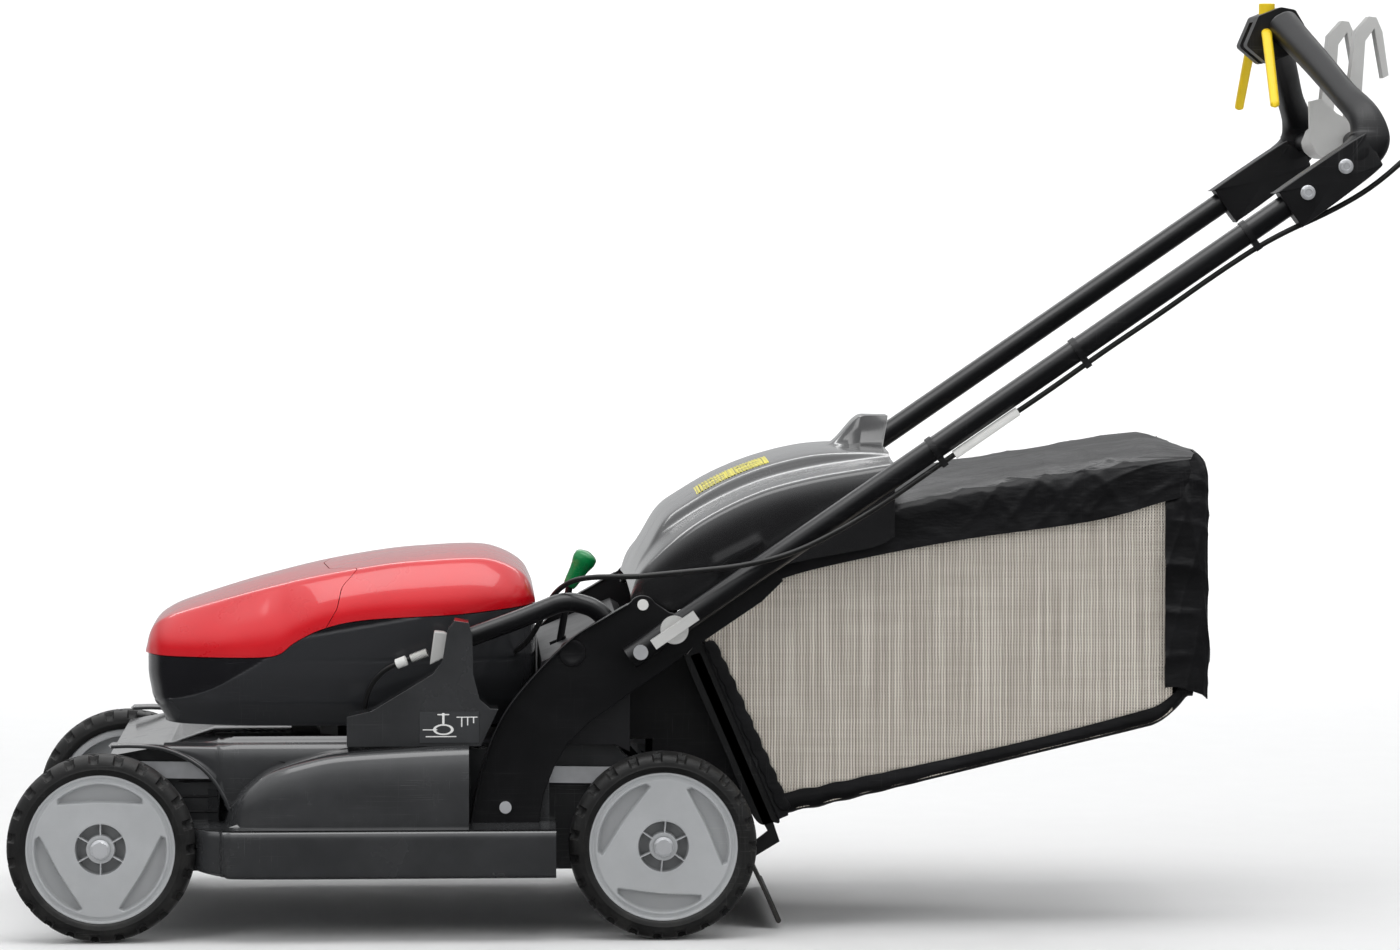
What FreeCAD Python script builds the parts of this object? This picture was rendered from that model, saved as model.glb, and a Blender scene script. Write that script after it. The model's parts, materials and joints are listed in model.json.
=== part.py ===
import FreeCAD, Part
import Sketcher
import math
import os
import re
from FreeCAD import Rotation, Vector

# Petrol lawn mower with a rear bag. +X to the user at the rear, +Y to the machine's right, +Z up.
# Every piece is drawn from the datum: the blade axis (x), the middle plane (y), the axle height (z).
# The placements then set the datum so that the ground is Z = 0 and the box is centred on X = 0.

SIZES = {
    # datum
    "blade_axis_x": -353.25, "wheelbase": 604.5,
    # wheels
    "wheel_dia": 203.2, "tyre_width": 48, "rim_dia": 160, "wheel_y": 251, "hub_bore": 12.7,
    "wheel_gap": 0.3, "arch_gap": 9, "axle_dia": 12.6, "lug_count": 23,
    # height adjustment
    "arm_reach": 60, "arm_travel": 53.6, "arm_plate": 5, "arm_y": 206, "crank_reach": 56,
    "front_pivot_z": 30.4, "rear_pivot_z": 20.4, "link_bar": 18, "axle_boss": 16, "link_plate": 3,
    "pivot_pin": 10, "drive_shaft": 14, "bolt_flange": 20,
    # deck
    "deck_half": 280, "wall_half": 204, "skirt_low": -31.6, "skirt_high": 19, "deck_top": 105,
    "blade_dia": 530, "chamber_gap": 7, "chamber_high": 48, "deck_wall": 7, "skirt_front": -188,
    "skirt_rear": 180,
    # engine
    "engine_half": 165, "engine_front": -263, "engine_rear": 167, "shroud_low": 120, "shell_wall": 3,
    "seam_gap": 0.5, "shaft_dia": 25,
    # handle
    "pivot_x": 277.75, "pivot_z": 210.1, "handle_angle": 34.5, "tube_dia": 25, "tube_wall": 1.6,
    "handle_length": 905, "stay_y": 234, "stay_plate": 5, "pin_dia": 8,
    "grip_dia": 32, "crossbar_dia": 22, "cable_dia": 6,
    # discharge flap and chute
    "flap_x": 281.25, "flap_z": 259, "flap_half": 212, "flap_wall": 4, "flap_pin": 8, "chute_left": -160,
    "chute_right": 52,
    # bag
    "bag_half": 198, "bag_wall": 4,
    # fits
    "running_gap": 0.05, "free_gap": 0.5, "cap_room": 2.5, "belt_gap": 0.1,
    # the tube stands clear of the stay, the bolt heads' room and its bracket
    "tube_seat": 1, "tube_y": "=stay_y + stay_plate + cap_room + tube_seat + tube_dia / 2",
}

doc = FreeCAD.newDocument("lawn_mower")
sheet = doc.addObject("Spreadsheet::Sheet", "Sizes")
for row, (alias, value) in enumerate(SIZES.items(), start=1):
    sheet.set(f"A{row}", alias)
    sheet.set(f"B{row}", str(value))
    sheet.setAlias(f"B{row}", alias)
doc.recompute()

NODES = []


def size(text):
    """The value in millimetres of a formula over the sheet's aliases."""
    return float(sheet.evalExpression(str(text)))


def bound(text):
    """The same formula with each alias named as a cell of the sheet, for setExpression."""
    return re.sub(r"[a-z][a-z_]*", lambda m: "Sizes." + m[0] if m[0] in SIZES else m[0], str(text))


def keep(item, label, at=("blade_axis_x", "0", "wheel_dia / 2")):
    """Name a sub-part, set it on the datum and list it for export."""
    item.Label = label
    for axis, text in zip("xyz", at):
        item.setExpression(f"Placement.Base.{axis}", bound(text))
    NODES.append(item)
    return item


def feature(label, shape):
    """A sub-part whose shape is worked out here from the sheet's sizes."""
    item = doc.addObject("Part::Feature", label)
    item.Shape = shape
    return keep(item, label)


def arc_middle(start, end, radius):
    """The middle of the arc from start to end; a positive radius bulges to the left."""
    chord = end - start
    rise = abs(radius) - math.sqrt(max(radius * radius - chord.Length ** 2 / 4, 0))
    left = Vector(-chord.y, chord.x, 0).normalize()
    return (start + end) / 2 + left * math.copysign(rise, radius)


def outline_edges(points):
    """Lines and arcs through (x, y) or (x, y, radius of the edge that starts here)."""
    places = [Vector(size(p[0]), size(p[1]), 0) for p in points]
    edges = []
    for index, point in enumerate(points):
        start, end = places[index], places[(index + 1) % len(places)]
        if len(point) > 2:
            edges.append(Part.Arc(start, arc_middle(start, end, size(point[2])), end))
        else:
            edges.append(Part.LineSegment(start, end))
    return edges


def sketch(body, name, role, offset, points, circles=()):
    """A fully constrained closed outline on one of the body's origin planes."""
    item = body.newObject("Sketcher::SketchObject", name)
    plane = [f for f in body.Origin.OriginFeatures if f.Role == role][0]
    item.AttachmentSupport = (plane, "")
    item.MapMode = "FlatFace"
    item.setExpression("AttachmentOffset.Base.z", bound(offset))
    item.addGeometry(outline_edges(points), False)
    count = len(points)
    starts = [Vector(size(p[0]), size(p[1]), 0) for p in points]
    first = [1 if item.getPoint(i, 1).distanceToPoint(starts[i]) < 1e-4 else 2 for i in range(count)]
    for i in range(count):
        after = (i + 1) % count
        item.addConstraint(Sketcher.Constraint("Coincident", i, 3 - first[i], after, first[after]))
    for i, point in enumerate(points):
        for kind, text in zip(("DistanceX", "DistanceY"), point[:2]):
            number = item.addConstraint(Sketcher.Constraint(kind, -1, 1, i, first[i], size(text)))
            item.setExpression(f"Constraints[{number}]", bound(text))
        if len(point) > 2:
            number = item.addConstraint(Sketcher.Constraint("Radius", i, abs(size(point[2]))))
            item.setExpression(f"Constraints[{number}]", "abs(" + bound(point[2]) + ")")
    for place_x, place_y, radius in circles:
        ring = item.addGeometry(
            Part.Circle(Vector(size(place_x), size(place_y), 0), Vector(0, 0, 1), size(radius)), False)
        for kind, text in (("DistanceX", place_x), ("DistanceY", place_y)):
            number = item.addConstraint(Sketcher.Constraint(kind, -1, 1, ring, 3, size(text)))
            item.setExpression(f"Constraints[{number}]", bound(text))
        number = item.addConstraint(Sketcher.Constraint("Radius", ring, size(radius)))
        item.setExpression(f"Constraints[{number}]", bound(radius))
    return item


def plate(label, points, low, high, circles=(), role="XZ_Plane", name="plate"):
    """A flat piece: an outline padded from low to high along the plane's axis."""
    body = doc.addObject("PartDesign::Body", label)
    offset = f"-({high})" if role == "XZ_Plane" else low
    base = sketch(body, name + "_outline", role, offset, points, circles)
    pad = body.newObject("PartDesign::Pad", name)
    pad.Profile = base
    pad.setExpression("Length", bound(f"({high}) - ({low})"))
    return body


def turned(label, points, role="XZ_Plane", axis="V_Axis", name="section"):
    """A round piece: an outline turned once about an axis of its sketch."""
    body = doc.addObject("PartDesign::Body", label)
    base = sketch(body, name, role, "0", points)
    turn = body.newObject("PartDesign::Revolution", "turn")
    turn.Profile = base
    turn.ReferenceAxis = (base, [axis])
    turn.Angle = 360
    doc.recompute()
    return body


def spot(x, y, z):
    """A point of the datum frame."""
    return Vector(size(x), size(y), size(z))


def rod(start, end, radius):
    """A round bar between two points."""
    return Part.makeCylinder(radius, (end - start).Length, start, end - start)


def block(low, high):
    """A box between two corners."""
    spread = high - low
    return Part.makeBox(spread.x, spread.y, spread.z, low)


def side_solid(points, low, high):
    """An outline in x and z, extended from y = low to y = high."""
    wire = Part.Wire([edge.toShape() for edge in outline_edges(points)])
    face = Part.Face(wire)
    face.rotate(Vector(), Vector(1, 0, 0), 90)
    face.translate(Vector(0, low, 0))
    return face.extrude(Vector(0, high - low, 0))


def plan_solid(points, low, high):
    """An outline in x and y, extended from z = low to z = high."""
    face = Part.Face(Part.Wire([edge.toShape() for edge in outline_edges(points)]))
    face.translate(Vector(0, 0, low))
    return face.extrude(Vector(0, 0, high - low))


def mirrored(shape):
    """The same shape on the other side of the middle plane."""
    return shape.mirror(Vector(), Vector(0, 1, 0))


def hollowed(points_side, points_plan, low, high, half, wall):
    """A closed casing: the outline seen from the side and from above, less the same inset by wall."""
    outer = side_solid(points_side, -half, half).common(plan_solid(points_plan, low, high))
    side_wire = Part.Wire([edge.toShape() for edge in outline_edges(points_side)])
    plan_wire = Part.Wire([edge.toShape() for edge in outline_edges(points_plan)])
    side_inner = Part.Face(side_wire.makeOffset2D(-wall))
    side_inner.rotate(Vector(), Vector(1, 0, 0), 90)
    side_inner.translate(Vector(0, -half, 0))
    plan_inner = Part.Face(plan_wire.makeOffset2D(-wall))
    plan_inner.translate(Vector(0, 0, low))
    inner = side_inner.extrude(Vector(0, 2 * half, 0)).common(plan_inner.extrude(Vector(0, 0, high - low)))
    return outer, inner


def pipe(points, diameter, label):
    """A round cable along straight runs joined by tangent arcs as large as the runs allow."""
    places = [Vector(*p) for p in points]
    runs = [b - a for a, b in zip(places, places[1:])]
    edges, length, start = [], 0.0, places[0]
    for corner, before, after in zip(places[1:], runs, runs[1:]):
        half_turn = before.getAngle(after) / 2
        back = 0.45 * min(before.Length, after.Length)
        radius = back / math.tan(half_turn)
        enter = corner - Vector(before).normalize() * back
        leave = corner + Vector(after).normalize() * back
        inward = (Vector(after).normalize() - Vector(before).normalize()).normalize()
        middle = corner + inward * (radius / math.cos(half_turn) - radius)
        edges += [Part.LineSegment(start, enter).toShape(), Part.Arc(enter, middle, leave).toShape()]
        length += (enter - start).Length + 2 * half_turn * radius
        start = leave
        print(f"{label}: bend radius {radius:.0f} mm")
    edges.append(Part.LineSegment(start, places[-1]).toShape())
    length += (places[-1] - start).Length
    path = Part.Wire(edges)
    ring = Part.Wire(Part.Circle(places[0], runs[0], diameter / 2).toShape())
    tube = path.makePipeShell([ring], True, True)
    expected = math.pi * diameter ** 2 / 4 * length
    if abs(tube.Volume - expected) > 0.01 * expected:
        raise ValueError(f"{label}: volume {tube.Volume:.0f}, expected {expected:.0f}")
    print(f"{label}: length {length:.0f} mm")
    return tube


def volume_now(body):
    """The body's volume once everything is recomputed."""
    doc.recompute()
    return body.Shape.Volume


def pocket_took(body, before, label):
    """Stop if a pocket was cut away from the material instead of into it."""
    taken = before - volume_now(body)
    if taken < LEAST_CUT:
        raise ValueError(f"{label}: the pocket took {taken:.0f} cubic mm")


# ---------------------------------------------------------------- wheels

LEAST_CUT = 500
FRONT_X = "-wheelbase / 2"
REAR_X = "wheelbase / 2"
WHEELS = {"front_left": (FRONT_X, -1), "front_right": (FRONT_X, 1),
          "rear_left": (REAR_X, -1), "rear_right": (REAR_X, 1)}


def wheel_tyre(name, axle_x, side):
    """Solid tyre: round-shouldered tread with lugs, turned about the wheel's own axis (sketch's V axis)."""
    outer, half, seat = "wheel_dia / 2", "tyre_width / 2", "rim_dia / 2 + wheel_gap"
    bulge = f"0.66 * ({outer} - {seat})"
    body = turned(f"tyre_{name}", [
        (seat, f"-{half} + 5"), (f"{seat} + 4", f"-{half}", f"-({bulge})"),
        (f"{outer} - 9", f"-{half} + 3", "-12"), (f"{outer} - 2.5", f"-{half} + 11"),
        (f"{outer} - 2.5", f"{half} - 11", "-12"), (f"{outer} - 9", f"{half} - 3", f"-({bulge})"),
        (f"{seat} + 4", half), (seat, f"{half} - 5")],
        role="XY_Plane")
    lug = sketch(body, "lug_outline", "XY_Plane", "0", [
        (f"{outer} - 4", f"-{half} + 8"), (outer, f"-{half} + 12"), (outer, f"{half} - 12"),
        (f"{outer} - 4", f"{half} - 8")])
    tread = body.newObject("PartDesign::Revolution", "lug")
    tread.Profile = lug
    tread.ReferenceAxis = (lug, ["V_Axis"])
    tread.setExpression("Angle", "240 / Sizes.lug_count")
    doc.recompute()
    ring = body.newObject("PartDesign::PolarPattern", "lugs")
    ring.Originals = [tread]
    ring.Axis = ([f for f in body.Origin.OriginFeatures if f.Role == "Y_Axis"][0], [""])
    ring.Angle = 360
    ring.setExpression("Occurrences", "Sizes.lug_count")
    body.Tip = ring
    keep(body, f"tyre_{name}", (f"blade_axis_x + {axle_x}", f"{side} * wheel_y", "wheel_dia / 2"))


def wheel_rim(name, axle_x, side):
    """Plastic rim: hub, web and seat ring, with three crescent recesses in the outer face."""
    half, seat = "tyre_width / 2", "rim_dia / 2"
    face = f"{half} - 3"
    body = turned(f"rim_{name}", [
        ("hub_bore / 2", f"-{half} + 2"), ("hub_bore / 2 + 9", f"-{half} + 2"),
        ("hub_bore / 2 + 9", f"{face} - 17"), ("30", f"{face} - 17"), (f"{seat} - 20", f"{face} - 12"),
        (f"{seat} - 8", f"{face} - 12"), (f"{seat} - 8", f"-{half} + 4"), (seat, f"-{half} + 4"),
        (seat, face), (f"{seat} - 4", face), (f"{seat} - 8", f"{face} - 5"), ("34", f"{face} - 2"),
        ("28", f"{face} - 3"), ("26", f"{face} - 12"), ("16", f"{face} - 12"), ("15", face),
        ("hub_bore / 2", face)],
        role="XY_Plane")
    recess = sketch(body, "recess_outline", "XZ_Plane", f"-({face})", [
        ("-38", "44", "56"), ("38", "44", "12"), ("30", "60", "-68"), ("-30", "60", "12")])
    before = volume_now(body)
    cut = body.newObject("PartDesign::Pocket", "recess")
    cut.Profile = recess
    cut.Length = 12
    cut.Midplane = True
    pocket_took(body, before, f"rim_{name}")
    ring = body.newObject("PartDesign::PolarPattern", "recesses")
    ring.Originals = [cut]
    ring.Axis = ([f for f in body.Origin.OriginFeatures if f.Role == "Y_Axis"][0], [""])
    ring.Angle = 360
    ring.Occurrences = 3
    body.Tip = ring
    keep(body, f"rim_{name}", (f"blade_axis_x + {axle_x}", f"{side} * wheel_y", "wheel_dia / 2"))
    if side < 0:
        body.Placement.Rotation = Rotation(Vector(0, 0, 1), 180)


for wheel, (axle, hand) in WHEELS.items():
    wheel_tyre(wheel, axle, hand)
    wheel_rim(wheel, axle, hand)


# ---------------------------------------------------------------- height adjustment and drive

FRONT_PIVOT_X = "-wheelbase / 2 + sqrt(arm_reach ^ 2 - front_pivot_z ^ 2)"
REAR_PIVOT_X = "wheelbase / 2 + sqrt(arm_reach ^ 2 - rear_pivot_z ^ 2)"
CRANK_BACK = size("crank_reach * sin(arm_travel / 2)")
CRANK_RISE = size("crank_reach * cos(arm_travel / 2)")
arm_low, arm_high = size("arm_y"), size("arm_y + arm_plate")
front_pivot = spot(FRONT_PIVOT_X, "0", "front_pivot_z")
rear_pivot = spot(REAR_PIVOT_X, "0", "rear_pivot_z")
front_pin = front_pivot + Vector(-CRANK_BACK, 0, CRANK_RISE)
rear_pin = rear_pivot + Vector(-CRANK_BACK, 0, CRANK_RISE)
front_axle = spot(FRONT_X, "0", "0")
rear_axle = spot(REAR_X, "0", "0")
pin_radius = size("pivot_pin / 2")
free = size("free_gap")
running = size("running_gap")
axle_end = size("wheel_y + tyre_width / 2 - 3")


def across(place, low, high, radius):
    """A round bar across the machine at an x and z, between two distances from the middle."""
    return Part.makeCylinder(radius, high - low, Vector(place.x, low, place.z), Vector(0, 1, 0))


def strap(start, end, half_width, low, high):
    """A flat bar with round ends between two pin centres."""
    along = (end - start).normalize()
    side = along.cross(Vector(0, 1, 0)) * half_width
    corners = [start + side, end + side, end - side, start - side, start + side]
    lift = Vector(0, low - start.y, 0)
    bar = Part.Face(Part.makePolygon([c + lift for c in corners])).extrude(Vector(0, high - low, 0))
    ends = [across(p, low, high, half_width) for p in (start, end)]
    return bar.multiFuse(ends).removeSplitter()


def flange_bolt(place, seat):
    """Flanged hexagon bolt head that keeps a wheel on its stub axle."""
    flange = across(place, seat, seat + 2, size("bolt_flange / 2"))
    flat = 8.6
    corners = [Vector(place.x + flat * math.cos(a), seat + 2, place.z + flat * math.sin(a))
               for a in (math.radians(60 * k) for k in range(7))]
    return flange.fuse(Part.Face(Part.makePolygon(corners)).extrude(Vector(0, 5, 0)))


def bell_crank(pivot, axle, pin, pivot_hole):
    """Plate from the pivot to the wheel's axle and up to the link bar, with the welded stub axle."""
    blank = strap(pivot, axle, 12, arm_low, arm_high).fuse(strap(pivot, pin, 9, arm_low, arm_high))
    blank = blank.fuse(across(axle, arm_low, axle_end + free, size("axle_dia / 2")))
    blank = blank.fuse(across(axle, arm_high, size("wheel_y - tyre_width / 2 + 1.5"), size("axle_boss / 2")))
    holes = across(pivot, 0, 300, pivot_hole).fuse(across(pin, 0, 300, pin_radius + running))
    return blank.cut(holes).removeSplitter()


front_arm = Part.makeCompound([bell_crank(front_pivot, front_axle, front_pin, pin_radius + running),
                               flange_bolt(front_axle, axle_end + free)])
feature("front_arm_right", front_arm)
feature("front_arm_left", mirrored(front_arm))

shaft_radius = size("drive_shaft / 2")
rear_arm = bell_crank(rear_pivot, rear_axle, rear_pin, shaft_radius + running)
tie_place = rear_pivot + Vector(24, 0, -14)
tie_rod = across(tie_place, -arm_high, arm_high, 6)
tie_strap = strap(rear_pivot, tie_place, 8, arm_low, arm_high)
rear_frame = rear_arm.multiFuse([mirrored(rear_arm), tie_rod, tie_strap, mirrored(tie_strap)]).cut(
    across(rear_pivot, -300, 300, shaft_radius + running)).removeSplitter()
rear_bolt = flange_bolt(rear_axle, axle_end + free)
feature("rear_arms", Part.makeCompound([rear_frame, rear_bolt, mirrored(rear_bolt)]))

bar_low = arm_high + 2
bar_high = bar_low + size("link_plate")
link = strap(front_pin, rear_pin, size("link_bar / 2"), bar_low, bar_high)
pins = [across(p, arm_low - 1, bar_high + 1.5, pin_radius) for p in (front_pin, rear_pin)]
link = link.multiFuse(pins)
feature("link_bar_right", link)
feature("link_bar_left", mirrored(link))

pinion = across(rear_pivot, size("wheel_y - tyre_width / 2 + 2"), size("wheel_y - 8"), 9.5)
ends = size("wheel_y - 8")
feature("drive_shaft", across(rear_pivot, -ends, ends, shaft_radius).multiFuse([pinion, mirrored(pinion)]))


# ---------------------------------------------------------------- rotor: crankshaft, flywheel, blades

shaft = turned("crankshaft", [
    ("0", "-11.5"), ("shaft_dia / 2", "-11.5"), ("shaft_dia / 2", "106"),
    ("30", "106"), ("30", "107.5"), ("22", "107.5"), ("22", "114.5"), ("30", "114.5"), ("30", "116"),
    ("shaft_dia / 2", "116"),
    ("shaft_dia / 2", "150"), ("30", "150"), ("30", "160"), ("shaft_dia / 2", "160"),
    ("shaft_dia / 2", "224"), ("9", "226"), ("9", "252"), ("0", "252")])
keep(shaft, "crankshaft")
wheel = turned("flywheel", [
    ("9", "234"), ("86", "234"), ("86", "248"), ("40", "250"), ("20", "252"), ("9", "252")])
fins = sketch(wheel, "fin_outline", "XY_Plane", "248", [
    ("50", "-1.5"), ("84", "-1.5"), ("84", "1.5"), ("50", "1.5")])
fin = wheel.newObject("PartDesign::Pad", "fin")
fin.Profile = fins
fin.Length = 16
doc.recompute()
fan = wheel.newObject("PartDesign::PolarPattern", "fan")
fan.Originals = [fin]
fan.Axis = ([f for f in wheel.Origin.OriginFeatures if f.Role == "Z_Axis"][0], [""])
fan.Angle = 360
fan.Occurrences = 14
wheel.Tip = fan
keep(wheel, "flywheel")

blade_half = size("blade_dia / 2")
HOLDER_LOW = -17.5
BLADE_STEP = 3.2


def blade(low, turn):
    """A flat bar, cut back at its leading corners, with a lifted wing along each trailing edge."""
    bar = plan_solid([(-blade_half, "-27"), (blade_half - 8, "-27"), (blade_half, "-18"),
                      (blade_half, "27"), (8 - blade_half, "27"), (-blade_half, "18")], low, low + 3)
    section = Part.makePolygon([Vector(blade_half - 110, y, low + z)
                                for y, z in ((12, 2.5), (27, 1), (27, 11), (25, 11), (12, 2.5))])
    wing = Part.Face(section).extrude(Vector(96, 0, 0))
    other = wing.copy()
    other.rotate(Vector(), Vector(0, 0, 1), 180)
    holes = [Part.makeCylinder(5.3, 9, Vector(0, 0, low - 3))]
    holes += [Part.makeCylinder(4.3, 9, Vector(x, 0, low - 3)) for x in (-24, 24)]
    bar = bar.multiFuse([wing, other]).cut(Part.makeCompound(holes))
    bar.rotate(Vector(), Vector(0, 0, 1), turn)
    return bar


upper_low = HOLDER_LOW - BLADE_STEP
lower_low = upper_low - BLADE_STEP
feature("blades", Part.makeCompound([blade(lower_low, 0), blade(upper_low, 32)]))
holder = Part.makeCylinder(36, 9, Vector(0, 0, HOLDER_LOW + 0.1)).fuse(
    Part.makeCylinder(20, 22, Vector(0, 0, HOLDER_LOW + 0.1)))
shaft_hole = Part.makeCylinder(size("shaft_dia / 2"), 60, Vector(0, 0, HOLDER_LOW + 6))
bolt_shank = Part.makeCylinder(5, 26, Vector(0, 0, lower_low - 1))
feature("blade_holder", holder.cut(shaft_hole).cut(bolt_shank))
head = Part.makeCylinder(13, 2, Vector(0, 0, lower_low - 2.1)).fuse(
    Part.makeCylinder(8.5, 6, Vector(0, 0, lower_low - 8)))
shank = Part.makeCylinder(5, HOLDER_LOW + 6 - lower_low + 2, Vector(0, 0, lower_low - 2))
feature("blade_bolt", head.fuse(shank))

# ---------------------------------------------------------------- deck and chute

wall_half = size("wall_half")
deck_half = size("deck_half")
skirt_low = size("skirt_low")
deck_top = size("deck_top")
chamber_radius = blade_half + size("chamber_gap")
arch_radius = size("wheel_dia / 2 + arch_gap")
front_raised = front_pivot + Vector(-size("sqrt(arm_reach ^ 2 - 23.6 ^ 2)"), 0, 23.6)
rear_raised = rear_pivot + Vector(-size("sqrt(arm_reach ^ 2 - 33.3 ^ 2)"), 0, 33.3)


def wheel_room(low_place, high_place, inner, outer):
    """The space that a wheel needs beside the deck, from its lowest to its highest place."""
    rise = high_place - low_place
    centre = (low_place + high_place) / 2
    ends = [across(p, inner, outer, arch_radius) for p in (low_place, high_place)]
    middle = Part.makeBox(2 * arch_radius, outer - inner, rise.z,
                          Vector(centre.x - arch_radius, inner, low_place.z))
    return ends[0].multiFuse([ends[1], middle])


rooms = wheel_room(front_axle, front_raised, wall_half, 400).fuse(
    wheel_room(rear_axle, rear_raised, wall_half, 400))
body_side = side_solid([
    ("-336", "skirt_low + 12"), ("-330", "skirt_low"), ("292", "skirt_low"), ("292", "60"),
    ("250", "deck_top"), ("-236", "deck_top"), ("-296", "94", "60"), ("-336", "46", "60")],
    -wall_half, wall_half)
nose_half = wall_half - 34
body_plan = plan_solid([
    ("-340", -nose_half), ("-306", -wall_half), ("300", -wall_half), ("300", wall_half),
    ("-306", wall_half), ("-340", nose_half)], skirt_low - 5, deck_top + 5)
ears = side_solid([
    ("280", "-10"), (f"{rear_pivot.x}", f"{rear_pivot.z - 15}", "15"),
    (f"{rear_pivot.x}", f"{rear_pivot.z + 15}"), ("280", "60")], wall_half - 9, wall_half)


def flank(shape_side):
    """Both sides of a piece drawn for the right-hand side."""
    return shape_side.fuse(mirrored(shape_side))


def cross_section(points, low, high):
    """An outline in y and z, extended from x = low to x = high."""
    wire = Part.Wire([edge.toShape() for edge in outline_edges(points)])
    face = Part.Face(wire)
    face.rotate(Vector(), Vector(1, 0, 0), 90)
    face.rotate(Vector(), Vector(0, 0, 1), 90)
    face.translate(Vector(low, 0, 0))
    return face.extrude(Vector(high - low, 0, 0))


BULGE_REAR = 92
bulge = cross_section([
    (wall_half - 8, "skirt_high - 4"), ("268", "skirt_high - 4"), ("264", "44"), ("258", "78", "-40"),
    ("236", "deck_top + 1"), (wall_half - 8, "deck_top")], -190, BULGE_REAR)
rear_flank = block(Vector(BULGE_REAR - 1, wall_half - 8, 10), Vector(size("skirt_rear"), 232, deck_top))
skirt = cross_section([
    (wall_half - 8, "skirt_low"), ("deck_half - 4", "skirt_low"), ("deck_half", "skirt_low + 5"),
    ("deck_half", "skirt_high - 4"), ("deck_half - 5", "skirt_high"), (wall_half - 8, "skirt_high")],
    size("skirt_front"), size("skirt_rear") + 6)
flanks = flank(bulge.multiFuse([rear_flank, skirt])).cut(flank(rooms))
tip_room = Part.makeCylinder(chamber_radius, size("skirt_high - deck_wall") - skirt_low + 5,
                            Vector(0, 0, skirt_low - 5))
chamber = tip_room.fuse(Part.makeCylinder(chamber_radius - 22, size("chamber_high") - skirt_low,
                                          Vector(0, 0, skirt_low)))
dome = Part.makeCylinder(wall_half - 14, deck_top - 8 - skirt_low, Vector(0, 0, skirt_low))
tunnel = block(Vector(-260, arm_low - 1, 58), Vector(270, bar_high + 4.5, 99))
front_hollow = block(Vector(-320, 20 - wall_half, skirt_low - 5), Vector(-284, wall_half - 20, 40))
rear_hollow = block(Vector(200, 20 - wall_half, skirt_low - 5), Vector(284, wall_half - 20, 40))
chute_low, chute_high = size("chute_left"), size("chute_right")
CHUTE_SIDE = [("170", "-40"), ("276", "-14"), ("330", "36"), ("436", "44"), ("440", "203"), ("345", "203"),
              ("256", "170"), ("231", "96"), ("170", "96")]
chute_room = side_solid(CHUTE_SIDE, chute_low, chute_high)
crank_hole = Part.makeCylinder(size("shaft_dia / 2 + 4"), 60, Vector(0, 0, deck_top - 40))
deck = body_side.common(body_plan).multiFuse([flanks, flank(ears)])
deck = deck.cut(Part.makeCompound([chamber, dome])).cut(flank(tunnel)).cut(front_hollow).cut(rear_hollow)
deck = deck.cut(chute_room).cut(crank_hole)
deck = deck.cut(across(rear_pivot, -300, 300, shaft_radius + running))
pivot_holes = across(front_pivot, -300, 300, pin_radius)
deck = deck.cut(pivot_holes)
lower_bolt = spot("132.4", "0", "40.1")
stay_low = size("stay_y")
stay_high = size("stay_y + stay_plate")
deck = deck.cut(across(lower_bolt, -300, 300, size("pin_dia / 2")))
feature("deck_shell", deck.removeSplitter())

chute_wall = 4
duct = side_solid([
    ("294", "0"), ("330", "32"), ("421", "39"), ("340", "207"), ("253", "174"), ("229", "106"),
    ("294", "106")], chute_low - chute_wall, chute_high + chute_wall).cut(chute_room)
MOUTH = [("345", "204"), ("424", "18"), ("414", "14"), ("334", "200")]
rim_outer = side_solid(MOUTH, -196, 196)
lip = side_solid([("410", "24"), ("426", "-6"), ("432", "-4"), ("424", "20")], -196, 196)
frame = rim_outer.cut(side_solid(CHUTE_SIDE, chute_low, chute_high))
shield_pin = across(Vector(398, 0, -18), -196, 196, 3)
lug = side_solid([("394", "-22"), ("402", "-22"), ("432", "-4"), ("420", "8"), ("394", "-12")], 188, 196)
feature("discharge_chute", duct.multiFuse([frame, lip, shield_pin, lug, mirrored(lug)]).cut(
    chute_room).removeSplitter())

hump_side = side_solid([
    ("172", "deck_top"), ("172", "196"), ("258", "232"), ("268", "226"), ("268", "deck_top - 8"),
    ("252", "deck_top")], -216, 216)
hump_room = side_solid([
    ("176", "deck_top - 30"), ("176", "192"), ("258", "227"), ("264", "222"), ("272", "160"),
    ("272", "deck_top - 30")], -212, 212)
lever_slot = block(Vector(184, -67, 180), Vector(202, -26, 240))
belt_window = block(Vector(170, -60, deck_top - 1), Vector(178, 140, deck_top + 14))
lever_pin = Part.makeCylinder(3, 34, Vector(172, -60, 168), Vector(1, 0, 0))
lever_lug = block(Vector(203, -68, 162), Vector(207, -52, 207))
feature("rear_cowl", hump_side.cut(hump_room).cut(lever_slot).cut(belt_window).multiFuse(
    [lever_pin, lever_lug]).removeSplitter())

# ---------------------------------------------------------------- tower, lift handle and trigger

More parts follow.
